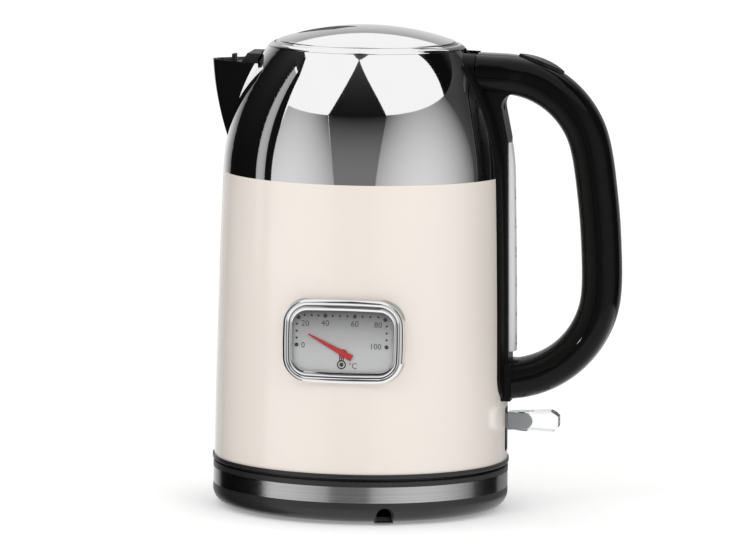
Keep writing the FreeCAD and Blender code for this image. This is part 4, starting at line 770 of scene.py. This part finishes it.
CARDS = {
    # dark gap between the two overhead panels, and the grey it runs down into
    "wedge": ([((-119.0, 31.0), (-62.6, 32.0)),
               ((-107.9, 48.0), (-76.0, 48.5)),
               ((-97.0, 64.0), (-96.2, 64.0))],
              [(0.008,), (0.022,), (0.055,)]),
    "over_apex": ([((-97.2, 63.9), (-96.2, 63.9)),
                   ((-106.0, 65.5), (-87.0, 65.8)),
                   ((-118.0, 68.0), (-76.0, 68.5))],
                  [(0.09,), (0.075,), (0.06,)]),
    "centre": ([((-106.0, -16.0), (-75.4, -16.0)),
                ((-109.6, 8.5), (-72.2, 8.5)),
                ((-118.9, 32.0), (-62.8, 33.0))],
               [(0.15,), (0.165,), (0.012,)]),
    # big side panels, darker towards the gap and towards their heads
    "left": ([((-164.0, -16.0), (-106.0, -16.0)),
              ((-163.5, 8.0), (-109.5, 8.0)),
              ((-162.6, 27.6), (-118.9, 31.4))],
             [(0.7, 0.68, 0.36), (0.58, 0.66, 0.33), (0.4, 0.42, 0.06)]),
    "right": ([((-75.4, -16.0), (15.0, -16.0)),
               ((-72.2, 8.5), (14.0, 8.5)),
               ((-62.8, 33.2), (3.0, 31.4))],
              [(0.4, 0.7, 0.2), (0.36, 0.66, 0.1), (0.09, 0.4, 0.1)]),
    # darker room beyond the panel on the right, and the light that edges it
    "right_far": ([((15.0, -16.0), (48.0, -16.0)),
                   ((14.0, 8.5), (60.0, 8.5)),
                   ((3.0, 31.4), (50.0, 31.4))],
                  [(0.05, 0.006, 0.006), (0.07, 0.01, 0.012), (0.05, 0.06, 0.05)]),
    "right_high": ([((3.0, 31.2), (50.0, 31.2)),
                    ((8.0, 43.0), (60.0, 43.0)),
                    ((4.0, 52.0), (70.0, 56.0))],
                   [(0.01, 0.006, 0.05), (0.01, 0.004, 0.06), (0.02, 0.006, 0.1)]),
    "right_edge": ([((48.0, -16.0), (86.0, -16.0)),
                    ((60.0, 8.5), (90.0, 8.5)),
                    ((50.0, 31.4), (80.0, 40.0))],
                   [(0.2, 0.34), (0.1, 0.3), (0.07, 0.3)]),
    # black room beyond the panel on the left, with one grey strip in it
    "left_black": ([((136.0, -60.0), (179.5, -60.0)),
                    ((137.0, 6.0), (178.8, 6.0)),
                    ((146.0, 40.0), (180.0, 40.0))],
                   [(0.006,), (0.006,), (0.006, 0.03, 0.006)]),
    "left_crown": ([((146.0, 40.0), (192.2, 40.0)),
                    ((152.0, 42.5), (189.0, 43.0)),
                    ((162.0, 45.0), (184.0, 46.0))],
                   [(0.006, 0.03, 0.006), (0.006, 0.03, 0.006), (0.006, 0.03, 0.006)]),
    "left_edge": ([((112.0, -40.0), (137.0, -40.0)),
                   ((112.0, 6.0), (138.0, 6.0)),
                   ((122.0, 34.0), (147.0, 40.0))],
                  [(0.85, 0.2), (0.8, 0.1), (0.3, 0.02)]),
    "left_strip": ([((178.8, -6.0), (189.0, -6.0)),
                    ((177.6, 17.0), (188.4, 17.0)),
                    ((178.5, 39.0), (186.8, 39.0))],
                   [(0.36, 0.44, 0.3), (0.34, 0.42, 0.3), (0.26, 0.38, 0.28)]),
    "left_inner": ([((189.0, -6.0), (196.0, -6.0)),
                    ((188.4, 17.0), (197.0, 17.0)),
                    ((186.8, 40.0), (192.2, 40.0))],
                   [(0.006,), (0.006,), (0.006,)]),
    "left_below": ([((150.0, -60.0), (200.0, -60.0)),
                    ((150.0, -33.0), (200.0, -33.0)),
                    ((150.0, -6.0), (200.0, -6.0))],
                   [(0.006,), (0.006,), (0.006,)]),
    # wall behind the jug, seen in the top of the lid
    "back": ([((30.0, -8.0), (118.0, -8.0)),
              ((32.0, 9.0), (130.0, 9.0)),
              ((36.0, 25.5), (150.0, 25.5))],
             [(0.72,), (0.66,), (0.36,)]),
    # one dark leaf against that wall
    "back_leaf": ([((99.8, 0.6), (99.4, 0.6)),
                   ((101.4, 8.5), (98.5, 6.5)),
                   ((100.3, 14.4), (98.1, 10.5))],
                  [(0.09,), (0.11,), (0.08,)]),
}
REACH = {"back": 3.1, "back_leaf": 2.9}
for name, (rows, tones) in CARDS.items():
    card("card_" + name, rows, tones, REACH.get(name, CARD_REACH))


def make_floor(half=9.0):
    """White floor that keeps the object's soft shadow."""
    mat, _, _, shader = material("floor_white")
    shader.inputs["Base Color"].default_value = (0.94, 0.94, 0.94, 1)
    shader.inputs["Roughness"].default_value = 0.9
    shader.inputs["Specular IOR Level"].default_value = 0.0
    shader.inputs["Emission Color"].default_value = (1, 1, 1, 1)
    shader.inputs["Emission Strength"].default_value = 0.25
    corners = [(-half, -half, 0), (half, -half, 0), (half, half, 0), (-half, half, 0)]
    floor = staged("floor", built("floor", corners, [(0, 1, 2, 3)]), mat)
    floor.visible_glossy = False


def make_world():
    """Soft white light all round; plain white where the camera, a reflection or glass looks at it."""
    world = bpy.data.worlds.new("studio")
    bpy.context.scene.world = world
    world.use_nodes = True
    nodes, links = world.node_tree.nodes, world.node_tree.links
    nodes.clear()
    out = nodes.new("ShaderNodeOutputWorld")
    mixed = nodes.new("ShaderNodeMixShader")
    path = nodes.new("ShaderNodeLightPath")
    for slot, strength in ((1, 0.80), (2, 1.0)):
        background = nodes.new("ShaderNodeBackground")
        background.inputs["Color"].default_value = (1, 1, 1, 1)
        background.inputs["Strength"].default_value = strength
        links.new(background.outputs[0], mixed.inputs[slot])
    looked_at = path.outputs["Is Camera Ray"]
    for ray in ("Is Glossy Ray", "Is Transmission Ray"):
        either = nodes.new("ShaderNodeMath")
        either.operation = "MAXIMUM"
        links.new(looked_at, either.inputs[0])
        links.new(path.outputs[ray], either.inputs[1])
        looked_at = either.outputs[0]
    links.new(looked_at, mixed.inputs["Fac"])
    links.new(mixed.outputs[0], out.inputs["Surface"])


LAMP_AIM = Vector((0, 0, 0.12))


def lamp(name, place, size, power):
    """Round soft lamp that points at the jug and isn't seen in it."""
    light = bpy.data.lights.new(name, "AREA")
    light.shape, light.size, light.energy = "DISK", size, power
    obj = bpy.data.objects.new(name, light)
    bpy.context.scene.collection.objects.link(obj)
    obj.location = place
    obj.rotation_euler = (LAMP_AIM - Vector(place)).to_track_quat("-Z", "Y").to_euler()
    obj.visible_glossy = False
    obj.visible_camera = False


def make_camera():
    """Camera in front of the jug and a little above it, level but for a slight roll."""
    turn, pitch, yaw, roll = (math.radians(v) for v in (7.4, 6.827, 0.097, 0.893))
    place = Vector((0.44969, -3.46242, 0.5364))
    right = Vector((math.cos(turn), math.sin(turn), 0))
    ahead = Vector((-math.sin(turn), math.cos(turn), 0))
    ahead = (ahead * math.cos(yaw) + right * math.sin(yaw)).normalized()
    right = ahead.cross(Vector((0, 0, 1))).normalized()
    sight = ahead * math.cos(pitch) - Vector((0, 0, 1)) * math.sin(pitch)
    upward = right.cross(sight).normalized()
    across = right * math.cos(roll) + upward * math.sin(roll)
    along_up = upward * math.cos(roll) - right * math.sin(roll)
    camera = bpy.data.objects.new("camera", bpy.data.cameras.new("camera"))
    bpy.context.scene.collection.objects.link(camera)
    facing = Matrix((across, along_up, -sight)).transposed()
    camera.matrix_world = Matrix.Translation(place) @ facing.to_4x4()
    camera.data.sensor_width = 36.0
    camera.data.lens = 326.3376
    camera.data.clip_start, camera.data.clip_end = 0.1, 100.0
    bpy.context.scene.camera = camera


make_floor()
make_world()
lamp("key", (-1.1, -2.0, 1.9), 1.2, 9.0)
lamp("fill", (1.6, -1.9, 1.5), 1.2, 7.0)
make_camera()
bpy.context.scene.view_settings.view_transform = "Standard"

# ---------------------------------------------------------------- final update of the view layer
bpy.context.view_layer.update()
